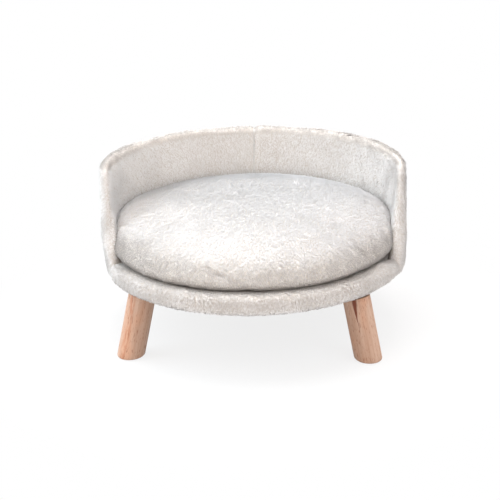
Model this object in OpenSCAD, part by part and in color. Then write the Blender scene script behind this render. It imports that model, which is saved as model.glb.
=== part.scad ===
// Round pet sofa: a plush covered drum with a padded back round its rear and sides, a low
// lip across the open front, a loose cushion and four splayed wooden legs.
// The origin is on the floor under the middle. The opening faces -Y, and +Z is up.

/* [Overall] */
// Diameter over the plush
body_d = 420; // [380:5:480]
// Height from the floor to the top of the back
total_h = 232; // [205:1:260]
// Height of the underside above the floor
base_z = 88; // [76:1:104]
// Height of the padded base, up to the top of the front lip
base_h = 27; // [25:0.5:32]
// Thickness of the padded back
back_t = 20; // [18:0.5:26]

/* [Back] */
// How far each end of the back reaches forward of the middle, level with the lip
end_reach = 56; // [36:1:76]
// How far each end leans back between the lip and the top
end_lean = 36; // [16:1:56]
// Rounding of the upper front corner of each end, in side view
end_round = 25; // [18:1:36]

/* [Covers] */
// Thickness of the plush with its pile pressed down
plush_t = 3; // [2:0.25:3.5]
// Thickness of the hem of the plush, pulled flat under the board
hem_t = 1; // [0.6:0.1:1.4]
// How far the hem reaches in from the edge of the board
hem_w = 28; // [22:1:36]
// Rounding of the front lip
lip_round = 10; // [7:0.5:12]
// Thickness of the dust cover
dust_t = 0.6; // [0.4:0.1:1]
// Distance from the edge of the board to the edge of the dust cover
dust_inset = 5; // [3:0.5:7]

/* [Board and panel] */
// Thickness of the base board
board_t = 12; // [10:0.5:14]
// Thickness of the bent panel in the back
panel_t = 5; // [4:0.25:6]
// Thickness of the wadding between the panel and the outer plush
outer_wad_t = 3.5; // [2.5:0.25:4]
// Thickness of the wadding over the top edge and the ends of the panel
edge_wad_t = 8; // [6:0.5:10]

/* [Legs] */
// Diameter of a leg
leg_d = 36; // [30:1:40]
// Distance from the edge of the body in to the centre of each foot
foot_in = 3; // [-4:1:12]
// Angle of a leg from the side to side line, seen from above
leg_angle = 41; // [35:1:50]
// Turn of the whole set of legs, seen from above
leg_turn = -4; // [-6:0.5:6]
// Splay of a leg from upright
splay = 15.5; // [12:0.5:17]

/* [Leg hardware] */
// Thickness of a mounting plate
plate_t = 2; // [1.5:0.25:3]
// Length of a mounting plate from its inner edge to the bolt
plate_in = 40; // [38:1:46]
// Length of a mounting plate from the bolt to its outer edge
plate_out = 13; // [8:0.5:14]
// Width of a mounting plate
plate_w = 56; // [54:1:62]
// Corner radius of a mounting plate
plate_round = 6; // [3:0.5:9]
// Diameter of the angled boss on a mounting plate
boss_d = 26; // [20:1:30]
// Diameter of a hanger bolt
bolt_d = 8; // [6:0.5:8]
// Length of a hanger bolt
bolt_l = 50; // [46:1:50]
// Length of a hanger bolt that is in the leg
bolt_in_leg = 32; // [26:1:34]
// Diameter of a plate screw
plate_screw_d = 4; // [3.5:0.25:4.5]
// Length of a plate screw under its head
plate_screw_l = 12; // [10:0.5:13]
// Distance from the bolt back to the inner pair of plate screws
screw_back = 32; // [30:0.5:33]
// Distance of the inner pair of plate screws from the plate's middle line
screw_back_side = 15; // [12:0.5:18]
// Distance from the bolt back to the outer pair of plate screws
screw_mid = 4; // [2:0.5:8]

/* [Panel screws] */
// Number of screws through the foot of the panel
panel_screws_n = 9; // [5:1:11]
// Diameter of a panel screw
panel_screw_d = 3.5; // [3:0.25:4]
// Length of a panel screw
panel_screw_l = 15; // [12:0.5:16]

/* [Staples] */
// Number of places for a staple round the board
staples_n = 36; // [24:1:48]
// Width of a staple's crown
staple_w = 10; // [8:0.5:12]
// Thickness of a staple's wire
staple_t = 0.6; // [0.5:0.1:0.8]
// Length of a staple's legs
staple_l = 6; // [5:0.5:6.5]

/* [Cushion] */
// Clear space between the cushion and the back
cushion_gap = 3; // [1:0.25:6]
// Clear space between the cushion and the seat
seat_gap = 0.3; // [0.2:0.05:0.5]
// Height of the cushion from its underside to its crown
cushion_h = 50; // [44:1:60]
// Height of the cushion's widest line above its underside
cushion_waist = 22.7; // [20:0.1:26]
// Thickness of the cushion's plush
cover_t = 2.5; // [2.5:0.1:3]
// How far the seam is drawn in
seam_draw = 1.6; // [0:0.1:2]

/* [Zip] */
// Half of the angle that the zip spans round the back of the cushion
zip_half = 32; // [24:1:40]
// Width of the zip between the edges of the covers
zip_w = 12; // [11:0.25:13]
// Thickness of the zip's tape
tape_t = 0.5; // [0.4:0.05:0.6]
// Width of each row of the zip's coil
coil_w = 2; // [1.8:0.1:2.2]
// Height of the coil over the tape
coil_h = 1.6; // [1.3:0.1:1.7]
// Slit between the two rows of the coil
coil_slit = 0.8; // [0.7:0.05:1]
// Length of the slider
slider_l = 9; // [8:0.25:11]
// Thickness of the slider's two plates
slider_t = 1; // [0.8:0.05:1.1]
// Length of the pull from its pin to its tip
pull_l = 18; // [14:0.5:20]
// Width of the pull
pull_w = 5; // [4.9:0.1:5.5]
// Thickness of the pull
pull_t = 1.2; // [1:0.1:1.3]

/* [Hidden] */
$fn = 96;

// One overrun for every cut
cut = 1;
// Steps along a rounded edge
round_steps = 10;

// Radii, from the outside in
body_r = body_d / 2;
seat_r = body_r - back_t;
mid_r = body_r - back_t / 2;
rim_r = back_t / 2;
panel_out_r = body_r - plush_t - outer_wad_t;
board_r = panel_out_r - panel_t;
hem_r = board_r - hem_w;
dust_r = board_r - dust_inset;

// Levels, from the floor up
hem_z = base_z + dust_t;
board_z = hem_z + hem_t;
board_top = board_z + board_t;
lip_z = base_z + base_h;
foam_top = lip_z - plush_t;
rim_z = total_h - rim_r;

// The front edge of the back in side view
lean_slope = end_lean / (total_h - lip_z);
lean = atan(lean_slope);

// Legs stand at these turns, and each leg has one place in this order
leg_turns = [
    180 + leg_angle + leg_turn, 360 - leg_angle + leg_turn,
    180 - leg_angle + leg_turn, leg_angle + leg_turn
];
FRONT_LEFT = 0;
FRONT_RIGHT = 1;
REAR_LEFT = 2;
REAR_RIGHT = 3;
leg_r = leg_d / 2;
foot_r = body_r - foot_in;
plate_z = base_z - plate_t;
bolt_plate_r = foot_r - plate_z * tan(splay);
leg_seat_gap = 0.3;
leg_l = (plate_z - leg_seat_gap - leg_r * sin(splay)) / cos(splay);
bolt_r = bolt_d / 2;
thread_gap = 0.05;
bolt_hole_gap = 0.6;
plate_screw_r = plate_screw_d / 2;
plate_screw_gap = 0.2;
head_r_share = 1.9;
head_h_share = 1.1;
plate_head_r = plate_screw_r * head_r_share;
plate_head_h = plate_screw_r * head_h_share;
head_gap = 0.7;
screw_mid_side = leg_r + plate_head_r + head_gap;
plate_spots = [
    [-screw_back, -screw_back_side], [-screw_back, screw_back_side],
    [-screw_mid, -screw_mid_side], [-screw_mid, screw_mid_side]
];

// Panel screws run through the middle of the board's edge
panel_screw_r = panel_screw_d / 2;
panel_head_r = panel_screw_r * head_r_share;
panel_head_h = panel_head_r - panel_screw_r;
panel_screw_z = board_z + board_t / 2;
head_sink = 0.1;

// Staples keep clear of the mounting plates
staple_r = (hem_r + dust_r) / 2 + dust_inset;
plate_half_angle = atan((plate_w / 2 + staple_w) / bolt_plate_r);

// The cushion
cushion_r = seat_r - cushion_gap;
cushion_z = lip_z + seat_gap + cushion_waist;
crown_h = cushion_h - cushion_waist;
top_power = 4;
low_power = 5;
cushion_steps = 22;
seam_t = 23;
seam_spread = 9;

// The zip lies along the cushion's seam
seam = cushion_point(-seam_t, 0);
zip_tilt = -atan(cushion_r / cushion_waist * pow(tan(seam_t), 2 - 2 / low_power));
tape_x = -cover_t;
coil_x = tape_x + tape_t;
coil_top = coil_x + coil_h;
run_gap = 0.25;
plate_x = coil_top + run_gap;
coil_edge = coil_slit / 2 + coil_w;
flange_t = 0.7;
slider_w = 2 * (coil_edge + run_gap + flange_t);
neck_t = coil_slit / 2;
groove_gap = 0.3;
stop_l = 3;
stop_angle = arc_angle(stop_l);
slider_angle = arc_angle(slider_l);
end_gap_angle = arc_angle(run_gap);
slider_turn = 90 + zip_half - stop_angle - 2 * end_gap_angle - slider_angle / 2;
lug_w = 1.8;
lug_l = 3;
lug_h = 2.5;
pin_hole_r = 0.75;
pin_gap = 0.1;
pin_r = pin_hole_r - pin_gap;
lug_wall = 0.35;
pin_x = plate_x + slider_t + lug_h - lug_wall - pin_hole_r;
arm_t = 0.9;
arm_gap = 0.15;
tab_gap = 1.2;
tab_start = lug_l / 2 + tab_gap;

// Angle that a length spans along the zip
function arc_angle(length) = length / seam[0] * 180 / PI;

// Points of an arc about a centre
function arc(centre, r, from, to) = [
    for (i = [0 : round_steps])
        let (a = from + (to - from) * i / round_steps)
        [centre[0] + r * cos(a), centre[1] + r * sin(a)]
];

// Front edge of the back at a height, moved in by an inset
function end_y(z, inset) = (z - lip_z) * lean_slope + inset / cos(lean) - end_reach;

// Outline of the back in side view, moved in by an inset
function side_outline(inset) =
    let (
        corner_z = total_h - end_round,
        corner = [end_y(corner_z, 0) + end_round / cos(lean), corner_z],
        low = base_z - cut
    )
    concat(
        [[end_y(low, inset), low]],
        arc(corner, end_round - inset, 180 - lean, 90),
        [[body_d, total_h - inset], [body_d, low]]
    );

// Section of the back, moved in by an inset, from a floor level up to its round rim
function back_section(inset, floor_z) = concat(
    [[seat_r + inset, floor_z]],
    arc([mid_r, rim_z], rim_r - inset, 180, 0),
    [[body_r - inset, floor_z]]
);

// A point of the cushion's section: t runs from -90 under the middle to 90 over it
function cushion_point(t, inset) =
    let (
        power = t < 0 ? low_power : top_power,
        h = t < 0 ? cushion_waist : crown_h,
        draw = seam_draw * exp(-pow((t + seam_t) / seam_spread, 2))
    )
    [
        (cushion_r - inset - draw) * pow(abs(cos(t)), 2 / power),
        (h - inset) * sign(t) * pow(abs(sin(t)), 2 / power)
    ];

// A stretch of the cushion's section
function cushion_line(from, to, inset) = [
    for (i = [0 : cushion_steps])
        cushion_point(from + (to - from) * i / cushion_steps, inset)
];

// Rounded rectangle between two corners
function round_plate(low, high, r) = concat(
    arc([high[0] - r, high[1] - r], r, 0, 90), arc([low[0] + r, high[1] - r], r, 90, 180),
    arc([low[0] + r, low[1] + r], r, 180, 270), arc([high[0] - r, low[1] + r], r, 270, 360)
);

// Everything behind the front edge of the back, moved in by an inset
module behind(inset) {
    rotate([90, 0, 90]) linear_extrude(body_d + 2 * cut, center = true) polygon(side_outline(inset));
}

// The room that the back takes up: outside the seat, and the hem under the board
module back_zone() {
    intersection() {
        difference() {
            cylinder(r = body_r + cut, h = total_h + cut);
            translate([0, 0, board_z]) cylinder(r = seat_r, h = total_h + 2 * cut);
        }
        behind(0);
    }
}

// Turns a child from upright at the middle to the place and splay of one leg
module at_leg(which) {
    rotate([0, 0, leg_turns[which]]) translate([foot_r, 0, 0]) rotate([0, -splay, 0]) children();
}

// Places a child at each plate screw of one leg
module at_plate_screws(which) {
    rotate([0, 0, leg_turns[which]])
        for (spot = plate_spots) translate([bolt_plate_r + spot[0], spot[1], plate_z]) children();
}

// Holes that the leg hardware needs through the covers and the board
module leg_holes() {
    for (which = [FRONT_LEFT : REAR_RIGHT]) {
        at_leg(which) translate([0, 0, leg_l])
            cylinder(r = bolt_r + bolt_hole_gap, h = bolt_l - bolt_in_leg + bolt_hole_gap);
        at_plate_screws(which)
            cylinder(r = plate_screw_r + thread_gap, h = plate_screw_l + thread_gap);
    }
}

// Places a child at each panel screw, with +Z pointing in along the screw
module at_panel_screws() {
    for (i = [0 : panel_screws_n - 1])
        rotate([0, 0, 180 * i / (panel_screws_n - 1)])
            translate([panel_out_r, 0, panel_screw_z]) rotate([0, -90, 0]) children();
}

// A countersunk screw, or its hole with a gap round it, sunk just below the panel's face
module panel_screw(gap) {
    translate([0, 0, head_sink - gap]) {
        cylinder(r1 = panel_head_r + gap, r2 = panel_screw_r + gap, h = panel_head_h);
        cylinder(r = panel_screw_r + gap, h = panel_screw_l + 2 * gap);
    }
}

module base_board() {
    color("burlywood") difference() {
        translate([0, 0, board_z]) cylinder(r = board_r, h = board_t);
        leg_holes();
        at_panel_screws() panel_screw(thread_gap);
    }
}

module base_foam() {
    color("khaki") translate([0, 0, board_top]) cylinder(r = seat_r, h = foam_top - board_top);
}

module lip_foam() {
    corner = [body_r - lip_round, lip_z - lip_round];
    color("khaki") difference() {
        rotate_extrude() polygon(concat(
            [[board_r, board_z], [board_r, board_top], [seat_r, board_top], [seat_r, foam_top]],
            arc(corner, lip_round - plush_t, 90, 0),
            [[body_r - plush_t, board_z]]
        ));
        behind(0);
    }
}

// The bare panel, which its wadding is cut by
module panel_body() {
    intersection() {
        translate([0, 0, board_z]) difference() {
            cylinder(r = panel_out_r, h = total_h);
            translate([0, 0, -cut]) cylinder(r = board_r, h = total_h + 2 * cut);
        }
        behind(plush_t + edge_wad_t);
    }
}

module back_panel() {
    color("tan") difference() {
        panel_body();
        at_panel_screws() {
            panel_screw(thread_gap);
            translate([0, 0, head_sink - cut]) cylinder(r = panel_head_r + thread_gap, h = cut);
        }
    }
}

module back_wadding() {
    color("ivory") difference() {
        intersection() {
            rotate_extrude() polygon(back_section(plush_t, board_z));
            behind(plush_t);
        }
        panel_body();
        cylinder(r = board_r, h = board_top);
    }
}

module panel_screws() {
    color("silver") at_panel_screws() panel_screw(0);
}

module base_cover() {
    corner = [body_r - lip_round, lip_z - lip_round];
    color("antiquewhite") difference() {
        rotate_extrude() polygon(concat(
            [[0, foam_top], [0, lip_z]],
            arc(corner, lip_round, 90, 0),
            [[body_r, hem_z], [hem_r, hem_z], [hem_r, board_z], [body_r - plush_t, board_z]],
            arc(corner, lip_round - plush_t, 0, 90)
        ));
        back_zone();
        leg_holes();
    }
}

// Half of the cover of the back: side is -1 on the left and 1 on the right
module back_cover(side) {
    difference() {
        intersection() {
            union() {
                rotate_extrude() polygon(back_section(0, board_top));
                rotate_extrude() polygon([
                    [board_r, board_top + cut], [body_r, board_top + cut], [body_r, hem_z],
                    [hem_r, hem_z], [hem_r, board_z], [board_r, board_z]
                ]);
            }
            behind(0);
            translate([side < 0 ? -body_d : 0, -body_d, 0]) cube([body_d, 2 * body_d, total_h + cut]);
        }
        intersection() {
            rotate_extrude() polygon(back_section(plush_t, board_z));
            behind(plush_t);
        }
        leg_holes();
    }
}

module back_cover_left() {
    color("linen") back_cover(-1);
}

module back_cover_right() {
    color("antiquewhite") back_cover(1);
}

module dust_cover() {
    color("dimgray") difference() {
        translate([0, 0, base_z]) cylinder(r = dust_r, h = dust_t);
        leg_holes();
    }
}

// One staple, with its crown along Y under the dust cover
module staple() {
    translate([-staple_t / 2, -staple_w / 2, -staple_t]) cube([staple_t, staple_w, staple_t]);
    for (end = [-1, 1])
        translate([-staple_t / 2, end * (staple_w - staple_t) / 2 - staple_t / 2, -staple_t])
            cube([staple_t, staple_t, staple_l + staple_t]);
}

module staples() {
    // A staple is left out where a mounting plate lies
    clear_turns = [
        for (i = [0 : staples_n - 1])
            let (
                a = 360 * i / staples_n,
                near = [for (t = leg_turns) abs((a - t + 540) % 360 - 180)]
            )
            if (min(near) > plate_half_angle) a
    ];
    color("silver") for (a = clear_turns)
        rotate([0, 0, a]) translate([staple_r, 0, base_z]) staple();
}

// A leg: a straight round bar cut level at the floor, with a bolt hole in its top
module leg(which) {
    color("peru") difference() {
        intersection() {
            at_leg(which) translate([0, 0, -leg_d]) cylinder(r = leg_r, h = leg_l + leg_d);
            translate([-body_d, -body_d, 0]) cube([2 * body_d, 2 * body_d, base_z]);
        }
        at_leg(which) translate([0, 0, leg_l - bolt_in_leg - thread_gap])
            cylinder(r = bolt_r + thread_gap, h = bolt_in_leg + cut);
    }
}

module leg_front_left() { leg(FRONT_LEFT); }
module leg_front_right() { leg(FRONT_RIGHT); }
module leg_rear_left() { leg(REAR_LEFT); }
module leg_rear_right() { leg(REAR_RIGHT); }

// A mounting plate: a flat sheet with a boss square to the leg
module leg_plate(which) {
    outline = round_plate([-plate_in, -plate_w / 2], [plate_out, plate_w / 2], plate_round);
    color("silver") difference() {
        union() {
            rotate([0, 0, leg_turns[which]]) translate([bolt_plate_r, 0, plate_z])
                linear_extrude(plate_t) polygon(outline);
            intersection() {
                at_leg(which) translate([0, 0, leg_l]) cylinder(d = boss_d, h = boss_d);
                translate([-body_d, -body_d, 0]) cube([2 * body_d, 2 * body_d, base_z]);
            }
        }
        at_leg(which) translate([0, 0, leg_l - cut])
            cylinder(r = bolt_r + thread_gap, h = bolt_l);
        at_plate_screws(which) translate([0, 0, -cut])
            cylinder(r = plate_screw_r + plate_screw_gap, h = plate_t + 2 * cut);
    }
}

module leg_plate_front_left() { leg_plate(FRONT_LEFT); }
module leg_plate_front_right() { leg_plate(FRONT_RIGHT); }
module leg_plate_rear_left() { leg_plate(REAR_LEFT); }
module leg_plate_rear_right() { leg_plate(REAR_RIGHT); }

module hanger_bolts() {
    color("gray") for (which = [FRONT_LEFT : REAR_RIGHT])
        at_leg(which) translate([0, 0, leg_l - bolt_in_leg]) cylinder(r = bolt_r, h = bolt_l);
}

module plate_screws() {
    color("gray") for (which = [FRONT_LEFT : REAR_RIGHT]) at_plate_screws(which) {
        cylinder(r = plate_screw_r, h = plate_screw_l);
        translate([0, 0, -plate_head_h]) cylinder(r = plate_head_r, h = plate_head_h);
    }
}

// Sweeps a section along the zip: x points out of the cushion and y up along it
module along_zip(from, to) {
    translate([0, 0, cushion_z]) rotate([0, 0, from]) rotate_extrude(angle = to - from)
        translate(seam) rotate(zip_tilt) children();
}

// The zip's own frame at one turn: x points out of the cushion and y along the zip
module at_zip(turn) {
    translate([0, 0, cushion_z]) rotate([0, 0, turn]) translate([seam[0], 0, seam[1]])
        rotate([0, -zip_tilt, 0]) children();
}

// The opening that the zip fills, from a depth in the cushion outwards
module zip_slot(depth_x) {
    along_zip(90 - zip_half, 90 + zip_half)
        translate([depth_x, -zip_w / 2]) square([zip_w, zip_w]);
}

module cushion_filling() {
    groove_w = slider_w + 2 * groove_gap;
    color("ivory") difference() {
        translate([0, 0, cushion_z]) rotate_extrude() polygon(concat(
            cushion_line(-90, -seam_t, cover_t), cushion_line(-seam_t, 90, cover_t)
        ));
        zip_slot(tape_x);
        along_zip(90 - zip_half, 90 + zip_half)
            translate([tape_x - run_gap - slider_t - groove_gap, -groove_w / 2])
                square([slider_t + run_gap + groove_gap + cut, groove_w]);
    }
}

// A cover of the cushion between two stretches of its section
module cushion_cover(from, to) {
    difference() {
        translate([0, 0, cushion_z]) rotate_extrude() polygon(concat(
            cushion_line(from, to, 0), cushion_line(to, from, cover_t)
        ));
        zip_slot(2 * tape_x);
    }
}

module cushion_cover_top() {
    color("seashell") cushion_cover(-seam_t, 90);
}

module cushion_cover_bottom() {
    color("antiquewhite") cushion_cover(-90, -seam_t);
}

module zip_tapes() {
    color("white") for (row = [-1, 1])
        along_zip(90 - zip_half, 90 + zip_half)
            translate([tape_x, row * (zip_w / 2 + coil_slit / 2) / 2])
                translate([0, -(zip_w - coil_slit) / 4]) square([tape_t, (zip_w - coil_slit) / 2]);
}

module zip_coils() {
    color("whitesmoke") for (row = [-1, 1])
        along_zip(90 - zip_half + stop_angle, 90 + zip_half - stop_angle)
            translate([coil_x, row * (coil_slit + coil_w) / 2 - coil_w / 2])
                square([coil_h, coil_w]);
}

module zip_stops() {
    color("silver") for (from = [90 - zip_half, 90 + zip_half - stop_angle])
        along_zip(from, from + stop_angle)
            translate([coil_x, -coil_edge]) square([coil_h, 2 * coil_edge]);
}

// Half of the slider's section, from the slit outwards
function slider_half() = [
    [tape_x - run_gap, neck_t / 2], [plate_x, neck_t / 2],
    [plate_x, coil_edge + run_gap], [coil_x + run_gap, coil_edge + run_gap],
    [coil_x + run_gap, slider_w / 2], [plate_x + slider_t, slider_w / 2]
];

module zip_slider() {
    half = slider_half();
    low = [[tape_x - run_gap - slider_t, slider_w / 2], [tape_x - run_gap, slider_w / 2]];
    upper = concat(low, half);
    color("gainsboro") difference() {
        union() {
            along_zip(slider_turn - slider_angle / 2, slider_turn + slider_angle / 2)
                polygon(concat(upper, [for (i = [len(upper) - 1 : -1 : 0]) [upper[i][0], -upper[i][1]]]));
            at_zip(slider_turn) translate([plate_x + slider_t / 2, -lug_l / 2, -lug_w / 2])
                cube([slider_t / 2 + lug_h, lug_l, lug_w]);
        }
        at_zip(slider_turn) translate([pin_x, 0, -lug_w])
            cylinder(r = pin_hole_r, h = 2 * lug_w);
    }
}

module zip_pull() {
    arm_z = lug_w / 2 + arm_gap;
    pin_half = arm_z + arm_t;
    color("gainsboro") at_zip(slider_turn) translate([pin_x, 0, 0]) {
        translate([0, 0, -pin_half]) cylinder(r = pin_r, h = 2 * pin_half);
        for (side = [-1, 1])
            translate([-pull_t / 2, -tab_start - cut, side * (arm_z + arm_t / 2) - arm_t / 2])
                cube([pull_t, tab_start + cut + pin_r, arm_t]);
        translate([-pull_t / 2, -pull_l, -pull_w / 2]) cube([pull_t, pull_l - tab_start, pull_w]);
    }
}

base_board();
base_foam();
lip_foam();
back_panel();
back_wadding();
panel_screws();
base_cover();
back_cover_left();
back_cover_right();
dust_cover();
staples();
leg_front_left();
leg_front_right();
leg_rear_left();
leg_rear_right();
leg_plate_front_left();
leg_plate_front_right();
leg_plate_rear_left();
leg_plate_rear_right();
hanger_bolts();
plate_screws();
cushion_filling();
cushion_cover_top();
cushion_cover_bottom();
zip_tapes();
zip_coils();
zip_stops();
zip_slider();
zip_pull();
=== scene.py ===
"""Dresses the round plush pet sofa: covers and their pile, the loose cushion, legs, hardware and zip.

Lengths are in metres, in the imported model's frame: the floor is z 0 and the open front faces -Y.
"""

import enum
import functools
import logging
import math
from dataclasses import dataclass, field
from typing import Any, Callable, Sequence, Union

import bmesh
import bpy
import numpy as np
from mathutils import Matrix, Vector, noise
from mathutils.bvhtree import BVHTree
from mathutils.kdtree import KDTree


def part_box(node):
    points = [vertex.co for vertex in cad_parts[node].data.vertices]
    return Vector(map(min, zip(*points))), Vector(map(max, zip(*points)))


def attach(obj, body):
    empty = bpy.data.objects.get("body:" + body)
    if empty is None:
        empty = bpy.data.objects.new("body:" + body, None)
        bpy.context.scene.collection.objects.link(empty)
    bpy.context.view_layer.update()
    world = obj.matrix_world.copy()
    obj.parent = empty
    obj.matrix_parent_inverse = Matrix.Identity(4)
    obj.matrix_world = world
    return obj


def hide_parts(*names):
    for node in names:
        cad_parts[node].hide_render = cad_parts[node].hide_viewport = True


LOG = logging.getLogger("pet_sofa")
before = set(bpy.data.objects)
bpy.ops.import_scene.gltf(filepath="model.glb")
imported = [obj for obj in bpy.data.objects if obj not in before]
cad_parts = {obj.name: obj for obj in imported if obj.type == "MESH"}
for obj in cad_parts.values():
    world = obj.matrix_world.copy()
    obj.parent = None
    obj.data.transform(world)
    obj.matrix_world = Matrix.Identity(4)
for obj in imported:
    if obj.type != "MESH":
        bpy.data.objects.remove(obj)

MM = 0.001
FRAME_BODY, CUSHION_BODY = "frame", "cushion"
# Without a seed of its own, noise_vector starts from the clock and the pile differs from run to run.
SWIRL_SEED = 7
Array = np.ndarray
Colour = tuple[float, float, float]
# A rule gives a value at each place, from places and the surface's normals there.
Rule = Callable[[Array, Array], Array]
# A span is where a smooth rise starts and where it ends, which may be the smaller of the two.
Span = tuple[float, float]


class Side(enum.Enum):
    """The two halves of the sofa, as seen from its front."""

    LEFT = -1
    RIGHT = 1


class LegSpot(enum.Enum):
    """Where a leg stands: its turn about the middle, in degrees."""

    FRONT_LEFT = 217
    FRONT_RIGHT = 315
    REAR_LEFT = 135
    REAR_RIGHT = 37


class Grid(enum.Enum):
    """Whether a grid of points is open or closed along its columns."""

    OPEN = 0
    RING = 1


def corner(node: str, high: bool) -> Vector:
    """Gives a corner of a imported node's box.

    Args:
        node: Name of the node.
        high: True for the highest corner, False for the lowest.

    Returns:
        The corner.
    """
    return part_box(node)[1 if high else 0]


@dataclass(frozen=True)
class Sofa:
    """Sizes of the whole sofa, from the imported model's boxes where they show them."""

    body_r: float = -corner("back_cover_left", False).x
    top_z: float = corner("back_cover_left", True).z
    board_r: float = corner("base_board", True).x
    board_z: float = corner("base_board", False).z
    board_top: float = corner("base_board", True).z
    hem_z: float = corner("base_cover", False).z
    lip_z: float = corner("base_cover", True).z
    base_z: float = corner("dust_cover", False).z
    dust_r: float = corner("dust_cover", True).x
    seat_r: float = corner("base_foam", True).x
    foam_top: float = corner("base_foam", True).z
    cushion_r: float = corner("cushion_cover_top", True).x
    cushion_low: float = corner("cushion_cover_bottom", False).z
    cushion_top: float = corner("cushion_cover_top", True).z
    hem_r: float = 0.1705
    end_reach: float = 0.056
    end_slope: float = 36 / 117
    end_round: float = 0.030
    waist_up: float = 0.0227
    top_power: float = 4.0
    low_power: float = 5.0
    seam_t: float = 23.0
    flare_len: float = 0.024
    flare_inner: float = 0.5
    seam_x: float = 2.6 * MM
    end_drop: float = 5.0 * MM
    flare_z: Span = (0.152, 0.100)
    sink_along: Span = (46 * MM, 2 * MM)
    sink_across: Span = (-22 * MM, -8 * MM)
    sink_z: Span = (0.091, 0.112)
    sink_past: Span = (-30 * MM, -4 * MM)

    @property
    def rim_r(self) -> float:
        """Half of the back's thickness, which is also the radius of its top edge."""
        return (self.body_r - self.seat_r) / 2

    @property
    def mid_r(self) -> float:
        """Radius of the middle of the back's wall."""
        return self.seat_r + self.rim_r

    @property
    def lean(self) -> float:
        """How far the front edge of the back leans from upright, in radians."""
        return math.atan(self.end_slope)

    @property
    def waist_z(self) -> float:
        """Height of the cushion's widest line."""
        return self.cushion_low + self.waist_up

    def end_line(self, z: Array, inset: float) -> Array:
        """Gives the straight part of the back's front edge, in side view.

        Args:
            z: Heights.
            inset: How far the edge is moved in.

        Returns:
            The edge's y at each height.
        """
        return (z - self.lip_z) * self.end_slope - self.end_reach + inset / math.cos(self.lean)

    def corner_centre(self) -> tuple[float, float]:
        """Gives the y and z of the centre of the rounded corner of the back's end."""
        z = self.top_z - self.end_round
        return float(self.end_line(np.array(z), 0)) + self.end_round / math.cos(self.lean), z

    def end_edge(self, z: Array, inset: float) -> Array:
        """Gives the whole front edge of the back in side view, with its rounded corner.

        Args:
            z: Heights, up to the top less the inset.
            inset: How far the edge is moved in.

        Returns:
            The edge's y at each height.
        """
        y_c, z_c = self.corner_centre()
        r = self.end_round - inset
        arc = y_c - np.sqrt(np.clip(r * r - (z - z_c) ** 2, 0, None))
        return np.where(z < z_c + r * math.sin(self.lean), self.end_line(z, inset), arc)

    def flare(self, r: Array, z: Array) -> Array:
        """How far the foot of the back's end reaches forward round the end of the lip.

        Args:
            r: Radii.
            z: Heights.

        Returns:
            The reach, full at the outer foot and less at the inner side.
        """
        across = self.flare_inner + (1 - self.flare_inner) * smooth(r, self.seat_r + 1 * MM, self.body_r)
        return self.flare_len * across * smooth(z, *self.flare_z)

    def lip_end(self, r: Array, z: Array, inset: float) -> Array:
        """Gives the y at which the lip ends, beside the back's end.

        Args:
            r: Radii.
            z: Heights.
            inset: How far short of the back it stops.

        Returns:
            The y of each point.
        """
        return self.end_line(z, -inset) - self.flare(r, z)

    def sunk(self, points: Array, more: float = 0.0) -> Array:
        """Lowers points of the seat and the lip towards the ends of the back, and leaves their underside.

        Args:
            points: Places.
            more: How much lower than the cover they go.

        Returns:
            The lowered places.
        """
        r, z = np.hypot(points[..., 0], points[..., 1]), points[..., 2]
        from_back = self.lip_end(r, z, 0) - points[..., 1]
        inner, outer = (self.seat_r + edge for edge in self.sink_across)
        drop = smooth(from_back, *self.sink_along) * smooth(r, inner, outer)
        drop = (self.end_drop + more) * drop * smooth(z, *self.sink_z) * smooth(from_back, *self.sink_past)
        return points - drop[..., None] * [0, 0, 1]

    def cushion_point(self, t: Array, inset: float) -> tuple[Array, Array]:
        """Gives points of the cushion's section.

        Args:
            t: Degrees, from -90 under the middle to 90 over it.
            inset: How far the section is moved in.

        Returns:
            The radii and heights.
        """
        power = np.where(t < 0, self.low_power, self.top_power)
        tall = np.where(t < 0, self.waist_up, self.cushion_top - self.waist_z)
        a = np.radians(t)
        r = (self.cushion_r - inset) * np.abs(np.cos(a)) ** (2 / power)
        return r, self.waist_z + (tall - inset) * np.sign(t) * np.abs(np.sin(a)) ** (2 / power)


SOFA = Sofa()


def smooth(x: Array, low: float, high: float) -> Array:
    """Rises smoothly from 0 at low to 1 at high.

    Args:
        x: Where to read it.
        low: Where it starts.
        high: Where it ends, which may be the smaller of the two.

    Returns:
        The values, from 0 to 1.
    """
    t = np.clip((x - low) / (high - low), 0, 1)
    return t * t * (3 - 2 * t)


def units(v: Array) -> Array:
    """Scales rows of a vector array to a length of 1."""
    return v / np.maximum(np.linalg.norm(v, axis=-1, keepdims=True), 1e-12)


def lumps(points: Array, size: float, seed: int) -> Array:
    """Gives smooth noise at points.

    Args:
        points: Places, one row each.
        size: Width of a lump.
        seed: Which noise.

    Returns:
        One value a point, about -1 to 1.
    """
    return np.array([noise.noise(p) for p in (points / size + seed * 7.31).tolist()])


def swirls(points: Array, size: float, seed: int) -> Array:
    """Gives a smooth random vector at points, as lumps does for a number."""
    return np.array([noise.noise_vector(p) for p in (points / size + seed * 7.31).tolist()])


@dataclass(frozen=True)
class Uneven:
    """Soft lumps of one width, as the padding under a cover makes them."""

    height: float
    width: float
    seed: int

    def at(self, points: Array) -> Array:
        """How far the surface stands out or in at points, one row each."""
        return self.height * lumps(points, self.width, self.seed)


def polar(r: Array, turn: Array, z: Array) -> Array:
    """Gives points from a radius, a turn in radians from +X and a height."""
    return np.stack(np.broadcast_arrays(r * np.cos(turn), r * np.sin(turn), z), -1)


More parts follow.
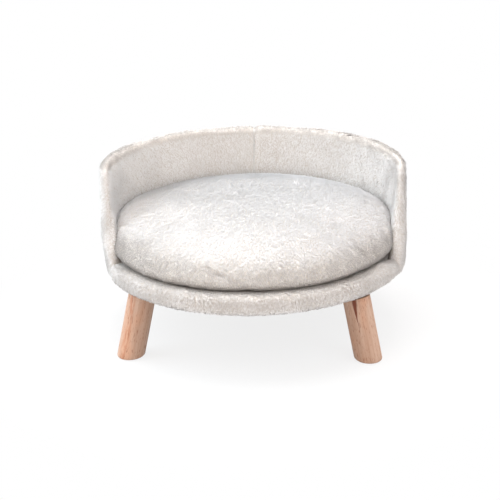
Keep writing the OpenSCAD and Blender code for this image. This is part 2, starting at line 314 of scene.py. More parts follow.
def quads(rows: int, columns: int, kind: Grid) -> Array:
    """Gives the faces of a grid of points.

    Args:
        rows: Number of rows.
        columns: Number of points in a row.
        kind: Whether a row closes on itself.

    Returns:
        Four point numbers a face.
    """
    at = np.arange(rows * columns).reshape(rows, columns)
    if kind is Grid.RING:
        at = np.hstack([at, at[:, :1]])
    return np.stack([at[:-1, :-1], at[:-1, 1:], at[1:, 1:], at[1:, :-1]], -1).reshape(-1, 4)


def mesh_piece(name: str, points: Array, faces: Sequence[Array]) -> bpy.types.Object:
    """Makes a smooth mesh object from arrays.

    Args:
        name: Name of the piece.
        points: Places, one row each.
        faces: Arrays of faces, each with its own number of corners a row.

    Returns:
        The new object.
    """
    mesh = bpy.data.meshes.new(name)
    mesh.vertices.add(len(points))
    mesh.vertices.foreach_set("co", np.asarray(points, np.float32).ravel())
    sizes = np.concatenate([np.full(len(f), f.shape[1]) for f in faces])
    mesh.loops.add(int(sizes.sum()))
    mesh.loops.foreach_set("vertex_index", np.concatenate([f.ravel() for f in faces]).astype(np.int32))
    mesh.polygons.add(len(sizes))
    mesh.polygons.foreach_set("loop_start", (np.cumsum(sizes) - sizes).astype(np.int32))
    mesh.update(calc_edges=True)
    mesh.shade_smooth()
    piece = bpy.data.objects.new(name, mesh)
    bpy.context.scene.collection.objects.link(piece)
    return piece


def read(piece: bpy.types.Object, what: str = "co") -> Array:
    """Reads a piece's vertices.

    Args:
        piece: The piece.
        what: "co" for their places, "normal" for their normals.

    Returns:
        One row each.
    """
    found = np.empty(len(piece.data.vertices) * 3, np.float32)
    piece.data.vertices.foreach_get(what, found)
    return found.reshape(-1, 3).astype(float)


def write(piece: bpy.types.Object, points: Array) -> None:
    """Sets the places of a piece's vertices."""
    piece.data.vertices.foreach_set("co", np.asarray(points, np.float32).ravel())
    piece.data.update()


def weld(piece: bpy.types.Object, outward: bool = False) -> None:
    """Merges a piece's doubled points and, if asked, turns its faces outwards.

    Args:
        piece: The piece.
        outward: True to work the faces' directions out again, for a closed piece.
    """
    built = bmesh.new()
    built.from_mesh(piece.data)
    bmesh.ops.remove_doubles(built, verts=built.verts, dist=1e-6)
    bmesh.ops.dissolve_degenerate(built, dist=1e-7, edges=built.edges)
    if outward:
        bmesh.ops.recalc_face_normals(built, faces=built.faces)
    built.to_mesh(piece.data)
    built.free()
    piece.data.shade_smooth()


def grid_piece(name: str, grid: Array, kind: Grid = Grid.RING, flip: bool = False) -> bpy.types.Object:
    """Makes a smooth mesh object from a grid of points.

    Args:
        name: Name of the piece.
        grid: Rows of places.
        kind: Whether a row closes on itself.
        flip: True to turn its faces round.

    Returns:
        The new object.
    """
    faces = quads(*grid.shape[:2], kind)
    return mesh_piece(name, grid.reshape(-1, 3), [faces[:, ::-1] if flip else faces])


def bar(name: str, grid: Array) -> bpy.types.Object:
    """Makes a closed bar, with a cap at each end.

    Args:
        name: Name of the piece.
        grid: Rows of places, each row a closed section.

    Returns:
        The new object.
    """
    rows, columns = grid.shape[:2]
    caps = np.array([np.arange(columns), np.arange(columns) + (rows - 1) * columns])
    piece = mesh_piece(name, grid.reshape(-1, 3), [quads(rows, columns, Grid.RING), caps])
    weld(piece, True)
    return piece


def pick(piece: bpy.types.Object) -> None:
    """Makes a piece the only selected object, and the active one.

    Args:
        piece: The piece.
    """
    bpy.ops.object.select_all(action="DESELECT")
    piece.select_set(True)
    bpy.context.view_layer.objects.active = piece


def joined(parts: Sequence[bpy.types.Object], name: str) -> bpy.types.Object:
    """Joins parts into one piece.

    Args:
        parts: The parts.
        name: Name of the piece.

    Returns:
        The first part, which now holds them all.
    """
    pick(parts[0])
    for part in parts[1:]:
        part.select_set(True)
    bpy.ops.object.join()
    parts[0].name = name
    return parts[0]


def finish_with(piece: bpy.types.Object, kind: str, **settings: Any) -> None:
    """Adds a modifier to a piece and applies it.

    Args:
        piece: The piece.
        kind: The modifier's type.
        settings: Its settings.
    """
    made = piece.modifiers.new(kind.lower(), kind)
    for name, value in settings.items():
        setattr(made, name, value)
    pick(piece)
    bpy.ops.object.modifier_apply(modifier=made.name)


def thicken(piece: bpy.types.Object, wall: float) -> None:
    """Gives a sheet its thickness, inwards from its faces."""
    finish_with(piece, "SOLIDIFY", thickness=wall, offset=-1.0, use_even_offset=False)


CLOTH = {
    "quality": 4,
    "mass": 0.25,
    "bending_stiffness": 0.4,
    "use_pressure": True,
    "vertex_group_mass": "held",
}
SWELL_FRAMES = 20


def swell(piece: bpy.types.Object, pressure: float, cap: float, pinned: Array) -> None:
    """Blows a closed form up with Blender's cloth, and keeps the result in its mesh.

    Args:
        piece: The closed form.
        pressure: Pressure inside it.
        cap: The furthest that a point may move.
        pinned: For each point, from 0, free, to 1, held.
    """
    start = read(piece)
    group = piece.vertex_groups.new(name="held")
    for i in np.nonzero(pinned > 0.01)[0]:
        group.add([int(i)], float(pinned[i]), "REPLACE")
    cloth = piece.modifiers.new("swell", "CLOTH")
    for name, value in CLOTH.items():
        setattr(cloth.settings, name, value)
    cloth.settings.uniform_pressure_force = pressure
    cloth.settings.effector_weights.gravity = 0
    cloth.collision_settings.use_collision = False
    for step in range(SWELL_FRAMES):
        bpy.context.scene.frame_set(step + 1)
    end = read(piece.evaluated_get(bpy.context.evaluated_depsgraph_get()))
    piece.modifiers.remove(cloth)
    piece.vertex_groups.remove(group)
    bpy.context.scene.frame_set(1)
    move = end - start
    far = np.linalg.norm(move, axis=1, keepdims=True)
    write(piece, start + move * np.minimum(1, cap / np.maximum(far, 1e-9)))


class Value:
    """A shader socket with the operators that formulas need. Each adds a Math node."""

    def __init__(self, kit: "Nodes", socket: bpy.types.NodeSocket) -> None:
        self.kit = kit
        self.socket = socket

    def maths(self, operation: str, *others: "Number") -> "Value":
        """Adds a Math node.

        Args:
            operation: The node's operation.
            others: Its values after the first, which is this one.

        Returns:
            The result.
        """
        return self.kit.maths(operation, self, *others)

    def __add__(self, other: "Number") -> "Value":
        """Adds."""
        return self.maths("ADD", other)

    def __sub__(self, other: "Number") -> "Value":
        """Subtracts."""
        return self.maths("SUBTRACT", other)

    def __rsub__(self, other: float) -> "Value":
        """Subtracts this from a number."""
        return self.kit.maths("SUBTRACT", other, self)

    def __mul__(self, other: "Number") -> "Value":
        """Multiplies."""
        return self.maths("MULTIPLY", other)

    def __truediv__(self, other: "Number") -> "Value":
        """Divides."""
        return self.maths("DIVIDE", other)

    def __abs__(self) -> "Value":
        """Gives the size without its sign."""
        return self.maths("ABSOLUTE")

    __radd__ = __add__
    __rmul__ = __mul__

    def within(self, low: float, high: float) -> "Value":
        """Rises smoothly from 0 at low to 1 at high.

        Args:
            low: Where it starts.
            high: Where it ends. It falls if this is the smaller.

        Returns:
            A value from 0 to 1.
        """
        if high < low:
            return 1.0 - self.within(high, low)
        node = self.kit.add("MapRange", {"interpolation_type": "SMOOTHSTEP"}, self, low, high)
        return Value(self.kit, node.outputs[0])


Number = Union[Value, float]


class Nodes:
    """Adds nodes to one tree."""

    def __init__(self, tree: bpy.types.NodeTree) -> None:
        """Keeps the tree."""
        self.tree = tree

    def add(self, kind: str, settings: dict[str, Any], *inputs: Any) -> bpy.types.Node:
        """Adds a node.

        Args:
            kind: Its type, without ShaderNode.
            settings: Its settings, which are set first.
            inputs: Values, Values or sockets for its inputs in order, with None to skip one.

        Returns:
            The node.
        """
        node = self.tree.nodes.new("ShaderNode" + kind)
        for name, value in settings.items():
            setattr(node, name, value)
        for socket, value in zip(node.inputs, inputs):
            self.feed(socket, value)
        return node

    def feed(self, socket: bpy.types.NodeSocket, value: Any) -> None:
        """Sets or links one socket.

        Args:
            socket: The input.
            value: A Value, a socket, a number, a colour or None.
        """
        if isinstance(value, Value):
            value = value.socket
        if isinstance(value, bpy.types.NodeSocket):
            self.tree.links.new(value, socket)
        elif value is not None:
            wide = hasattr(socket.default_value, "__len__") and len(socket.default_value) == 4
            socket.default_value = (*value, 1) if wide and len(value) == 3 else value

    def maths(self, operation: str, *values: Number) -> Value:
        """Adds a Math node on values and gives its result."""
        return Value(self, self.add("Math", {"operation": operation}, *values).outputs[0])

    def plain_rays(self) -> Value:
        """Finds the rays that see the plain background: the camera's, and those of gloss and glass.

        Returns:
            1 on such a ray, 0 on another.
        """
        path = self.add("LightPath", {})
        rays = (Value(self, path.outputs[f"Is {kind} Ray"]) for kind in ("Camera", "Glossy", "Transmission"))
        return functools.reduce(lambda one, other: self.maths("MAXIMUM", one, other), rays)


class Kit(Nodes):
    """Builds one material's nodes."""

    def __init__(self, name: str) -> None:
        """Starts a material with a Principled shader.

        Args:
            name: Name of the material.
        """
        self.material = bpy.data.materials.new(name)
        self.material.use_nodes = True
        super().__init__(self.material.node_tree)
        self.shader = self.tree.nodes["Principled BSDF"]

    def place(self, turn: Matrix | None = None) -> bpy.types.NodeSocket:
        """Gives the Object coordinates, moved into a piece's own frame.

        Args:
            turn: Matrix from the piece's frame to the sofa's, or None for the sofa's own.

        Returns:
            A vector socket.
        """
        found = self.add("TexCoord", {}).outputs["Object"]
        if turn is None:
            return found
        back = turn.inverted()
        places = found, back.to_translation(), back.to_euler("XYZ")
        return self.add("Mapping", {"vector_type": "POINT"}, *places).outputs[0]

    def stretch(self, vector: bpy.types.NodeSocket, scale: Sequence[float]) -> bpy.types.NodeSocket:
        """Scales a vector socket along each axis."""
        return self.add("VectorMath", {"operation": "MULTIPLY"}, vector, tuple(scale)).outputs[0]

    def grain(
        self, vector: bpy.types.NodeSocket, size: float, detail: float = 2, rough: float = 0.5
    ) -> Value:
        """Adds a noise texture.

        Args:
            vector: Where it is read.
            size: Width of its lumps, in the vector's unit.
            detail: Number of finer layers.
            rough: How strong they are.

        Returns:
            A value about 0.5.
        """
        node = self.add("TexNoise", {}, vector, None, 1 / size, detail, rough)
        return Value(self, node.outputs[0])

    def axes(self, vector: bpy.types.NodeSocket) -> list[Value]:
        """Splits a vector socket into its x, y and z."""
        return [Value(self, s) for s in self.add("SeparateXYZ", {}, vector).outputs]

    def mix(self, share: Number, first: Any, second: Any) -> bpy.types.NodeSocket:
        """Mixes two colours.

        Args:
            share: Share of the second.
            first: A colour or a socket.
            second: Likewise.

        Returns:
            The mixed colour.
        """
        node = self.add("Mix", {"data_type": "RGBA"}, share)
        self.feed(node.inputs[6], first)
        self.feed(node.inputs[7], second)
        return node.outputs[2]

    def bumps(self, height: Value, depth: float) -> None:
        """Gives the shader a bump.

        Args:
            height: The height, from 0 to 1.
            depth: What a height of 1 stands for.
        """
        node = self.add("Bump", {})
        for name, value in (("Strength", 1.0), ("Distance", depth), ("Height", height)):
            self.feed(node.inputs[name], value)
        self.feed(self.shader.inputs["Normal"], node.outputs[0])

    def set(self, **values: Any) -> None:
        """Sets or links inputs of the shader, with _ for a space in their names."""
        for name, value in values.items():
            self.feed(self.shader.inputs[name.replace("_", " ")], value)


@dataclass(frozen=True)
class PlushSkin:
    """The woven ground of the plush, seen between its tufts."""

    name: str
    pale: Colour
    deep: Colour

    def build(self) -> bpy.types.Material:
        """Makes the material: patches, small flecks and a knitted bump.

        Returns:
            The material.
        """
        kit = Kit(self.name)
        at = kit.place()
        patches = kit.grain(at, 34 * MM, 3, 0.6).within(0.35, 0.65)
        flecks = kit.grain(at, 3.2 * MM, 2, 0.6).within(0.38, 0.66)
        kit.set(
            Base_Color=kit.mix(patches * 0.5 + flecks * 0.5, self.deep, self.pale),
            Roughness=0.92 + flecks * 0.06,
            Specular_IOR_Level=0.2,
        )
        kit.bumps(kit.grain(at, 1.6 * MM, 3, 0.7) * 0.6 + flecks * 0.4, 0.8 * MM)
        return kit.material


@dataclass(frozen=True)
class PlushPile:
    """The tufts of the plush, painted deeper at their roots as shade down in the pile.

    The tufts carry their own map: u is a tuft's tone and v runs up it.
    """

    name: str
    root: Colour
    tip: Colour
    warm: Colour

    def build(self) -> bpy.types.Material:
        """Makes the material from the tufts' own map.

        Returns:
            The material.
        """
        kit = Kit(self.name)
        tone, up, _ = kit.axes(kit.add("UVMap", {"uv_map": Pile.TONES}).outputs[0])
        # The tone carries painted light and shade from the pile's painted shading, and random patches; a
        # high tone leans to the deep warm colour.
        share = tone.within(0.1, 0.9)
        roots, tips = (kit.mix(share, colour, self.warm) for colour in (self.root, self.tip))
        kit.set(
            # Painted shade: the roots are darker than the tips, for the shade down in the pile.
            Base_Color=kit.mix(up.within(0.0, 0.75), roots, tips),
            Roughness=0.85,
            Specular_IOR_Level=0.2,
        )
        return kit.material


@dataclass(frozen=True)
class Wood:
    """Clear finished light wood of one leg, with the grain along it."""

    name: str
    turn: Matrix
    seed: int
    knot: bool = False
    stripe: bool = False
    pale: Colour = (0.57, 0.40, 0.305)
    mid: Colour = (0.44, 0.265, 0.18)
    deep: Colour = (0.30, 0.13, 0.07)
    blush: Colour = (0.62, 0.30, 0.17)
    stripe_colour: Colour = (0.43, 0.175, 0.09)
    knot_colour: Colour = (0.17, 0.045, 0.02)
    ring_w: float = 14 * MM
    line_w: float = 2.4 * MM
    pore_w: float = 1.1 * MM
    blush_w: float = 22 * MM
    stripe_turn: float = 18.0
    stripe_half: float = 0.26
    knot_turn: float = -62.0
    knot_wide: Span = (0.054, 0.080)
    knot_thin: Span = (0.032, 0.055)
    knot_foot: Span = (0.030, 0.042)

    def build(self) -> bpy.types.Material:
        """Makes the material: growth rings cut along, fine pores, and a stripe or a streak if it has one.

        Returns:
            The material.
        """
        kit = Kit(self.name)
        at = kit.place(self.turn)
        apart = (self.seed * 0.37, self.seed * 0.11, 0)
        shift = kit.add("VectorMath", {"operation": "ADD"}, at, apart).outputs[0]
        slow = kit.grain(kit.stretch(shift, (1, 1, 0.06)), self.ring_w, 3, 0.55)
        lines = kit.grain(kit.stretch(shift, (1, 1, 0.035)), self.line_w, 3, 0.6)
        pores = kit.grain(kit.stretch(shift, (1, 1, 0.16)), self.pore_w, 2, 0.5).within(0.59, 0.69)
        tone = slow.within(0.3, 0.7) * 0.6 + lines.within(0.3, 0.7) * 0.4
        blush = kit.grain(kit.stretch(shift, (1, 1, 0.3)), self.blush_w, 2).within(0.5, 0.75)
        colour = kit.mix(blush * 0.45, kit.mix(tone, self.pale, self.mid), self.blush)
        if self.stripe:
            colour = kit.mix(self.stripe_share(kit, at), colour, self.stripe_colour)
        colour = kit.mix(pores * 0.8, colour, self.deep)
        if self.knot:
            colour = kit.mix(self.knot_share(kit, at), colour, self.knot_colour)
        kit.set(Base_Color=colour, Roughness=0.5 + tone * 0.14, Specular_IOR_Level=0.35)
        kit.bumps(lines * 0.5 + (1.0 - pores) * 0.5, 0.12 * MM)
        return kit.material

    def stripe_share(self, kit: Kit, at: bpy.types.NodeSocket) -> Value:
        """Gives the reddish stripe down the leg, worn away in places.

        Args:
            kit: The material's nodes.
            at: Places in the leg's own frame.

        Returns:
            The stripe's share of the colour.
        """
        x, y, _ = kit.axes(at)
        away = kit.maths("ARCTAN2", y, x) - math.radians(self.stripe_turn)
        wobble = kit.grain(kit.stretch(at, (1, 1, 0.4)), 12 * MM, 2) - 0.5
        worn = kit.grain(kit.stretch(at, (1, 1, 0.25)), 4 * MM, 3).within(0.36, 0.58)
        return (abs(away + wobble * 0.5) / self.stripe_half).within(1.1, 0.3) * worn * 0.7

    def knot_share(self, kit: Kit, at: bpy.types.NodeSocket) -> Value:
        """Gives the dark streak below the top of the leg, wide above and thin below.

        Args:
            kit: The material's nodes.
            at: Places in the leg's own frame.

        Returns:
            The streak's share of the colour.
        """
        x, y, z = kit.axes(at)
        away = kit.maths("ARCTAN2", y, x) - math.radians(self.knot_turn)
        wobble = kit.grain(kit.stretch(at, (1, 1, 0.4)), 9 * MM, 2) - 0.5
        wide = z.within(*self.knot_wide) * 0.2 + z.within(*self.knot_thin) * 0.024 + 0.001
        return (abs(away + wobble * 0.25) / wide).within(1.1, 0.4) * z.within(*self.knot_foot)


@dataclass(frozen=True)
class Steel:
    """Plated steel with a soft, slightly cloudy shine."""

    name: str
    colour: Colour = (0.62, 0.62, 0.60)
    rough: float = 0.34

    def build(self) -> bpy.types.Material:
        """Makes the material.

        Returns:
            The material.
        """
        kit = Kit(self.name)
        at = kit.place()
        cloud = kit.grain(at, 9 * MM, 3, 0.6).within(0.3, 0.7)
        dark = tuple(c * 0.72 for c in self.colour)
        kit.set(
            Base_Color=kit.mix(cloud, dark, self.colour),
            Metallic=1.0,
            Roughness=self.rough + cloud * 0.16,
        )
        kit.bumps(kit.grain(kit.stretch(at, (1, 6, 1)), 2 * MM, 2), 0.05 * MM)
        return kit.material


@dataclass(frozen=True)
class Plywood:
    """Plywood, with its layers on every edge."""

    name: str
    layer: float = 1.5 * MM

    def build(self) -> bpy.types.Material:
        """Makes the material: layers by height, grain over the faces.

        Returns:
            The material.
        """
        kit = Kit(self.name)
        at = kit.place()
        z = kit.axes(at)[2]
        layers = kit.maths("SINE", z * (math.pi / self.layer)).within(-0.3, 0.3)
        grain = kit.grain(kit.stretch(at, (1, 0.08, 1)), 3 * MM, 3, 0.6).within(0.3, 0.7)
        tone = layers * 0.6 + grain * 0.4
        kit.set(
            Base_Color=kit.mix(tone, (0.42, 0.27, 0.15), (0.66, 0.49, 0.32)),
            Roughness=0.72 + grain * 0.1,
        )
        kit.bumps(grain, 0.15 * MM)
        return kit.material


@dataclass(frozen=True)
class Fibre:
    """A soft or woven stuff in one colour: foam, wadding, dust cloth, tape or nylon."""

    name: str
    colour: Colour
    size: float
    depth: float
    rough: float = 0.9
    shade: float = 0.78

    def build(self) -> bpy.types.Material:
        """Makes the material.

        Returns:
            The material.
        """
        kit = Kit(self.name)
        at = kit.place()
        fine = kit.grain(at, self.size, 3, 0.65)
        patch = kit.grain(at, self.size * 12, 2)
        dark = tuple(c * self.shade for c in self.colour)
        kit.set(
            Base_Color=kit.mix((fine * 0.6 + patch * 0.4).within(0.35, 0.65), dark, self.colour),
            Roughness=self.rough,
            Specular_IOR_Level=0.3,
        )
        kit.bumps(fine, self.depth)
        return kit.material


Finish = Union[PlushSkin, PlushPile, Wood, Steel, Plywood, Fibre]


class Wardrobe:
    """Makes each finish once and puts it on pieces."""

    def __init__(self) -> None:
        """Starts with no finish made."""
        self.made: dict[str, bpy.types.Material] = {}

    def dress(self, piece: bpy.types.Object, finish: Finish) -> None:
        """Gives a whole piece one finish.

        Args:
            piece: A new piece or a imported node.
            finish: The finish.
        """
        if finish.name not in self.made:
            self.made[finish.name] = finish.build()
        material = self.made[finish.name]
        if not piece.data.materials:
            piece.data.materials.append(material)
        for place in piece.material_slots:
            place.link = "OBJECT"
            place.material = material


WARDROBE = Wardrobe()
# SKIN is darker than CUSHION_SKIN: painted shade on the ground between the tufts.
SKIN = PlushSkin("plush_ground", (0.80, 0.77, 0.73), (0.73, 0.68, 0.62))
CUSHION_SKIN = PlushSkin("cushion_ground", (0.92, 0.90, 0.86), (0.83, 0.78, 0.71))
# Roots darker than tips are painted shade in the pile; the last colour is the deep colour of painted shading
# and random patches.
TUFTS = PlushPile("plush_pile", (0.92, 0.885, 0.84), (0.97, 0.96, 0.945), (0.60, 0.565, 0.53))
CUSHION_TUFTS = PlushPile("cushion_pile", (0.95, 0.93, 0.905), (0.97, 0.965, 0.96), (0.60, 0.57, 0.54))
FOAM = Fibre("foam", (0.83, 0.76, 0.55), 1.4 * MM, 0.5 * MM)
WADDING = Fibre("wadding", (0.88, 0.87, 0.84), 3.0 * MM, 1.0 * MM)
DUST_CLOTH = Fibre("dust_cloth", (0.045, 0.045, 0.048), 0.9 * MM, 0.2 * MM, shade=0.6)
ZIP_TAPE = Fibre("zip_tape", (0.84, 0.82, 0.78), 0.5 * MM, 0.15 * MM, shade=0.85)
ZIP_NYLON = Fibre("zip_nylon", (0.82, 0.81, 0.78), 2.0 * MM, 0.02 * MM, rough=0.45, shade=0.9)
ZIP_METAL = Steel("zip_metal", (0.72, 0.72, 0.73), 0.24)
PLATE_STEEL = Steel("plate_steel", (0.60, 0.60, 0.58), 0.38)
SCREW_STEEL = Steel("screw_steel", (0.66, 0.66, 0.66), 0.30)
PLY = Plywood("plywood")


def settle(
    piece: bpy.types.Object, body: str, finish: Finish, stands_for: Sequence[str] = ()
) -> None:
    """Dresses a new piece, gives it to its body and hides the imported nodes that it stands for.

    Args:
        piece: The piece, with its place in its mesh.
        body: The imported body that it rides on.
        finish: Its finish.
        stands_for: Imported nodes.
    """
    WARDROBE.dress(piece, finish)
    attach(piece, body)
    if stands_for:
        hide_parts(*stands_for)
    piece.data.calc_loop_triangles()
    LOG.info("%s: %d triangles on %s", piece.name, len(piece.data.loop_triangles), body)


@dataclass(frozen=True)
class Pile:
    """Tufts that stand on a skin, lean with the nap and gather into clumps."""

    length: float = 4.8 * MM
    width: float = 1.05 * MM
    spacing: float = 1.52 * MM
    root_lean: float = 36.0
    tip_lean: float = 76.0
    gather: float = 0.2
    clump: float = 7 * MM
    swirl: float = 30 * MM
    unruly: float = 0.45
    ruffle: float = 9.0
    patches: float = 0.18
    soft: float = 0.92
    least: float = 0.12
    stray: float = 0.28
    tall_span: Span = (0.72, 1.12)
    wide_span: Span = (0.75, 1.25)
    lean_spread: float = 7.0
    lean_span: Span = (8.0, 86.0)
    ruffle_w: float = 16 * MM
    patch_w: float = 26 * MM
    plain_tone: float = 0.32
    tone_spread: float = 0.08
    tone_span: Span = (0.03, 0.97)
    root_sunk: float = 0.5 * MM

    TONES = "pile_tones"
    BAKED = "OFBake"
    MOST = 33_000

    def grow(
        self,
        name: str,
        skin: bpy.types.Object,
        reach: Rule,
        nap: Rule,
        seed: int,
        painted_shading: Callable[[Array], Array] = lambda points: np.zeros(len(points)),
    ) -> list[bpy.types.Object]:
        """Grows the tufts of a skin.

        Args:
            name: Name of the pieces, which get a number each.
            skin: A sheet whose faces point outwards, before it gets its thickness.
            reach: Gives each tuft's share of the full length. None grows where it is small.
            nap: Gives the way that the pile is stroked.
            seed: Which random draws.
            painted_shading: Gives from places how much deeper the tone is than elsewhere, as painted light
                and shade.

        Returns:
            The new pieces, none with more than MOST tufts.
        """
        draw = np.random.default_rng(seed)
        roots, up = self.scatter(skin, draw)
        share = reach(roots, up)
        kept = share > self.least
        roots, up, share = roots[kept], up[kept], share[kept]
        flow = nap(roots, up) + self.unruly * swirls(roots, self.swirl, seed) * 1.6
        flow = flow + self.stray * draw.normal(size=roots.shape)
        along = units(flow - up * (flow * up).sum(1, keepdims=True))
        count = len(roots)
        tall = self.length * share * draw.uniform(*self.tall_span, count)
        wide = self.width * draw.uniform(*self.wide_span, count) * np.sqrt(share)
        lift = draw.normal(0, self.lean_spread, count) + self.ruffle * lumps(roots, self.ruffle_w, seed + 3)
        leans = (np.clip(lean + lift, *self.lean_span) for lean in (self.root_lean, self.tip_lean))
        low, high = (np.radians(lean)[:, None] for lean in leans)
        half = tall[:, None] / 2
        middle = roots + half * (up * np.cos(low) + along * np.sin(low))
        tips = middle + half * (up * np.cos(high) + along * np.sin(high))
        middle, tips = self.gathered(roots, middle, tips, draw)
        patches = self.patches * lumps(roots, self.patch_w, seed + 5)
        patches = patches + draw.normal(0, self.tone_spread, count)
        # The tone is painted light and shade from the function passed in, plus random patches.
        tone = np.clip(self.plain_tone + painted_shading(roots) + patches, *self.tone_span)
        across = np.cross(up, along)
        back = units(along * np.cos(low) - up * np.sin(low))
        turns = [math.radians(turn) for turn in (0, 120, 240)]
        ring = [middle + wide[:, None] / 2 * (back * math.cos(a) + across * math.sin(a)) for a in turns]
        corners = np.stack([roots - up * self.root_sunk, *ring, tips], 1)
        order = np.argsort(np.arctan2(roots[:, 0], -roots[:, 1]))
        parts = np.array_split(order, math.ceil(count / self.MOST))
        return [
            self.piece(f"{name}_{i + 1}", corners[part], tone[part], up[part])
            for i, part in enumerate(parts)
        ]

    def scatter(self, skin: bpy.types.Object, draw: np.random.Generator) -> tuple[Array, Array]:
        """Spreads roots evenly over a skin.

        Args:
            skin: The sheet.
            draw: Source of random draws.

        Returns:
            Places and normals.
        """
        mesh = skin.data
        mesh.calc_loop_triangles()
        tri = np.empty(len(mesh.loop_triangles) * 3, np.int32)
        mesh.loop_triangles.foreach_get("vertices", tri)
        tri = tri.reshape(-1, 3)
        at, up = read(skin), read(skin, "normal")
        a, b, c = (at[tri[:, i]] for i in range(3))
        area = np.linalg.norm(np.cross(b - a, c - a), axis=1) / 2
        total = np.cumsum(area)
        count = int(total[-1] / self.spacing**2)
        marks = (np.arange(count) + draw.uniform(0, 1, count)) * total[-1] / count
        face = np.minimum(np.searchsorted(total, marks), len(tri) - 1)
        u, v = draw.uniform(size=(2, count))
        flip = u + v > 1
        u, v = np.where(flip, 1 - u, u)[:, None], np.where(flip, 1 - v, v)[:, None]
        a, b, c = tri[face].T
        place, normal = (k[a] * (1 - u - v) + k[b] * u + k[c] * v for k in (at, up))
        return place, units(normal)

    def gathered(
        self, roots: Array, middle: Array, tips: Array, draw: np.random.Generator
    ) -> tuple[Array, Array]:
        """Draws the tips together into clumps.

        Args:
            roots: Places of the roots.
            middle: Places half way up.
            tips: Places of the tips.
            draw: Source of random draws.

        Returns:
            The new middles and tips.
        """
        every = max(1, int((self.clump / self.spacing) ** 2))
        heads = draw.choice(len(roots), max(1, len(roots) // every), replace=False)
        tree = KDTree(len(heads))
        for i, h in enumerate(heads):
            tree.insert(roots[h], i)
        tree.balance()
        mine = heads[np.array([tree.find(r)[1] for r in roots.tolist()])]
        pull = self.gather * draw.uniform(0.55, 1.25, (len(roots), 1))
        toward = tips[mine] - tips
        return middle + toward * pull * 0.3, tips + toward * pull

    def piece(self, name: str, corners: Array, tone: Array, up: Array) -> bpy.types.Object:
        """Makes one piece of closed, three sided tufts, thin at both ends.

        Args:
            name: Name of the piece.
            corners: For each tuft its root, three middle points and tip.
            tone: For each tuft its place across the tone map.
            up: For each tuft the skin's normal, which most of its shading follows, as in a soft pile.

        Returns:
            The piece, with its tone map.
        """
        count = len(corners)
        first = (np.arange(count) * 5)[:, None]
        shape = np.array([[2, 1, 0], [3, 2, 0], [1, 3, 0], [1, 2, 4], [2, 3, 4], [3, 1, 4]])
        sides = (first[:, :, None] + shape[None]).reshape(-1, 3)
        made = mesh_piece(name, corners.reshape(-1, 3), [sides])
        u = tone[:, None] + np.array([0.0, -0.02, 0.0, 0.02, 0.0])
        v = np.broadcast_to([0.02, 0.5, 0.5, 0.5, 0.98], u.shape)
        uv = np.stack([u.ravel(), v.ravel()], 1)
        for layer in (self.TONES, self.BAKED):
            found = made.data.uv_layers.new(name=layer)
            found.data.foreach_set("uv", uv[sides.ravel()].astype(np.float32).ravel())
        shading = read(made, "normal") * (1 - self.soft) + np.repeat(up, 5, axis=0) * self.soft
        made.data.normals_split_custom_set_from_vertices(units(shading).astype(np.float32))
        return made


def stroked_down(points: Array, up: Array) -> Array:
    """The nap of the covers: down the walls, and outwards over level places."""
    out = units(points * [1, 1, 0])
    return np.array([0.0, 0.0, -1.0]) + out * 0.55


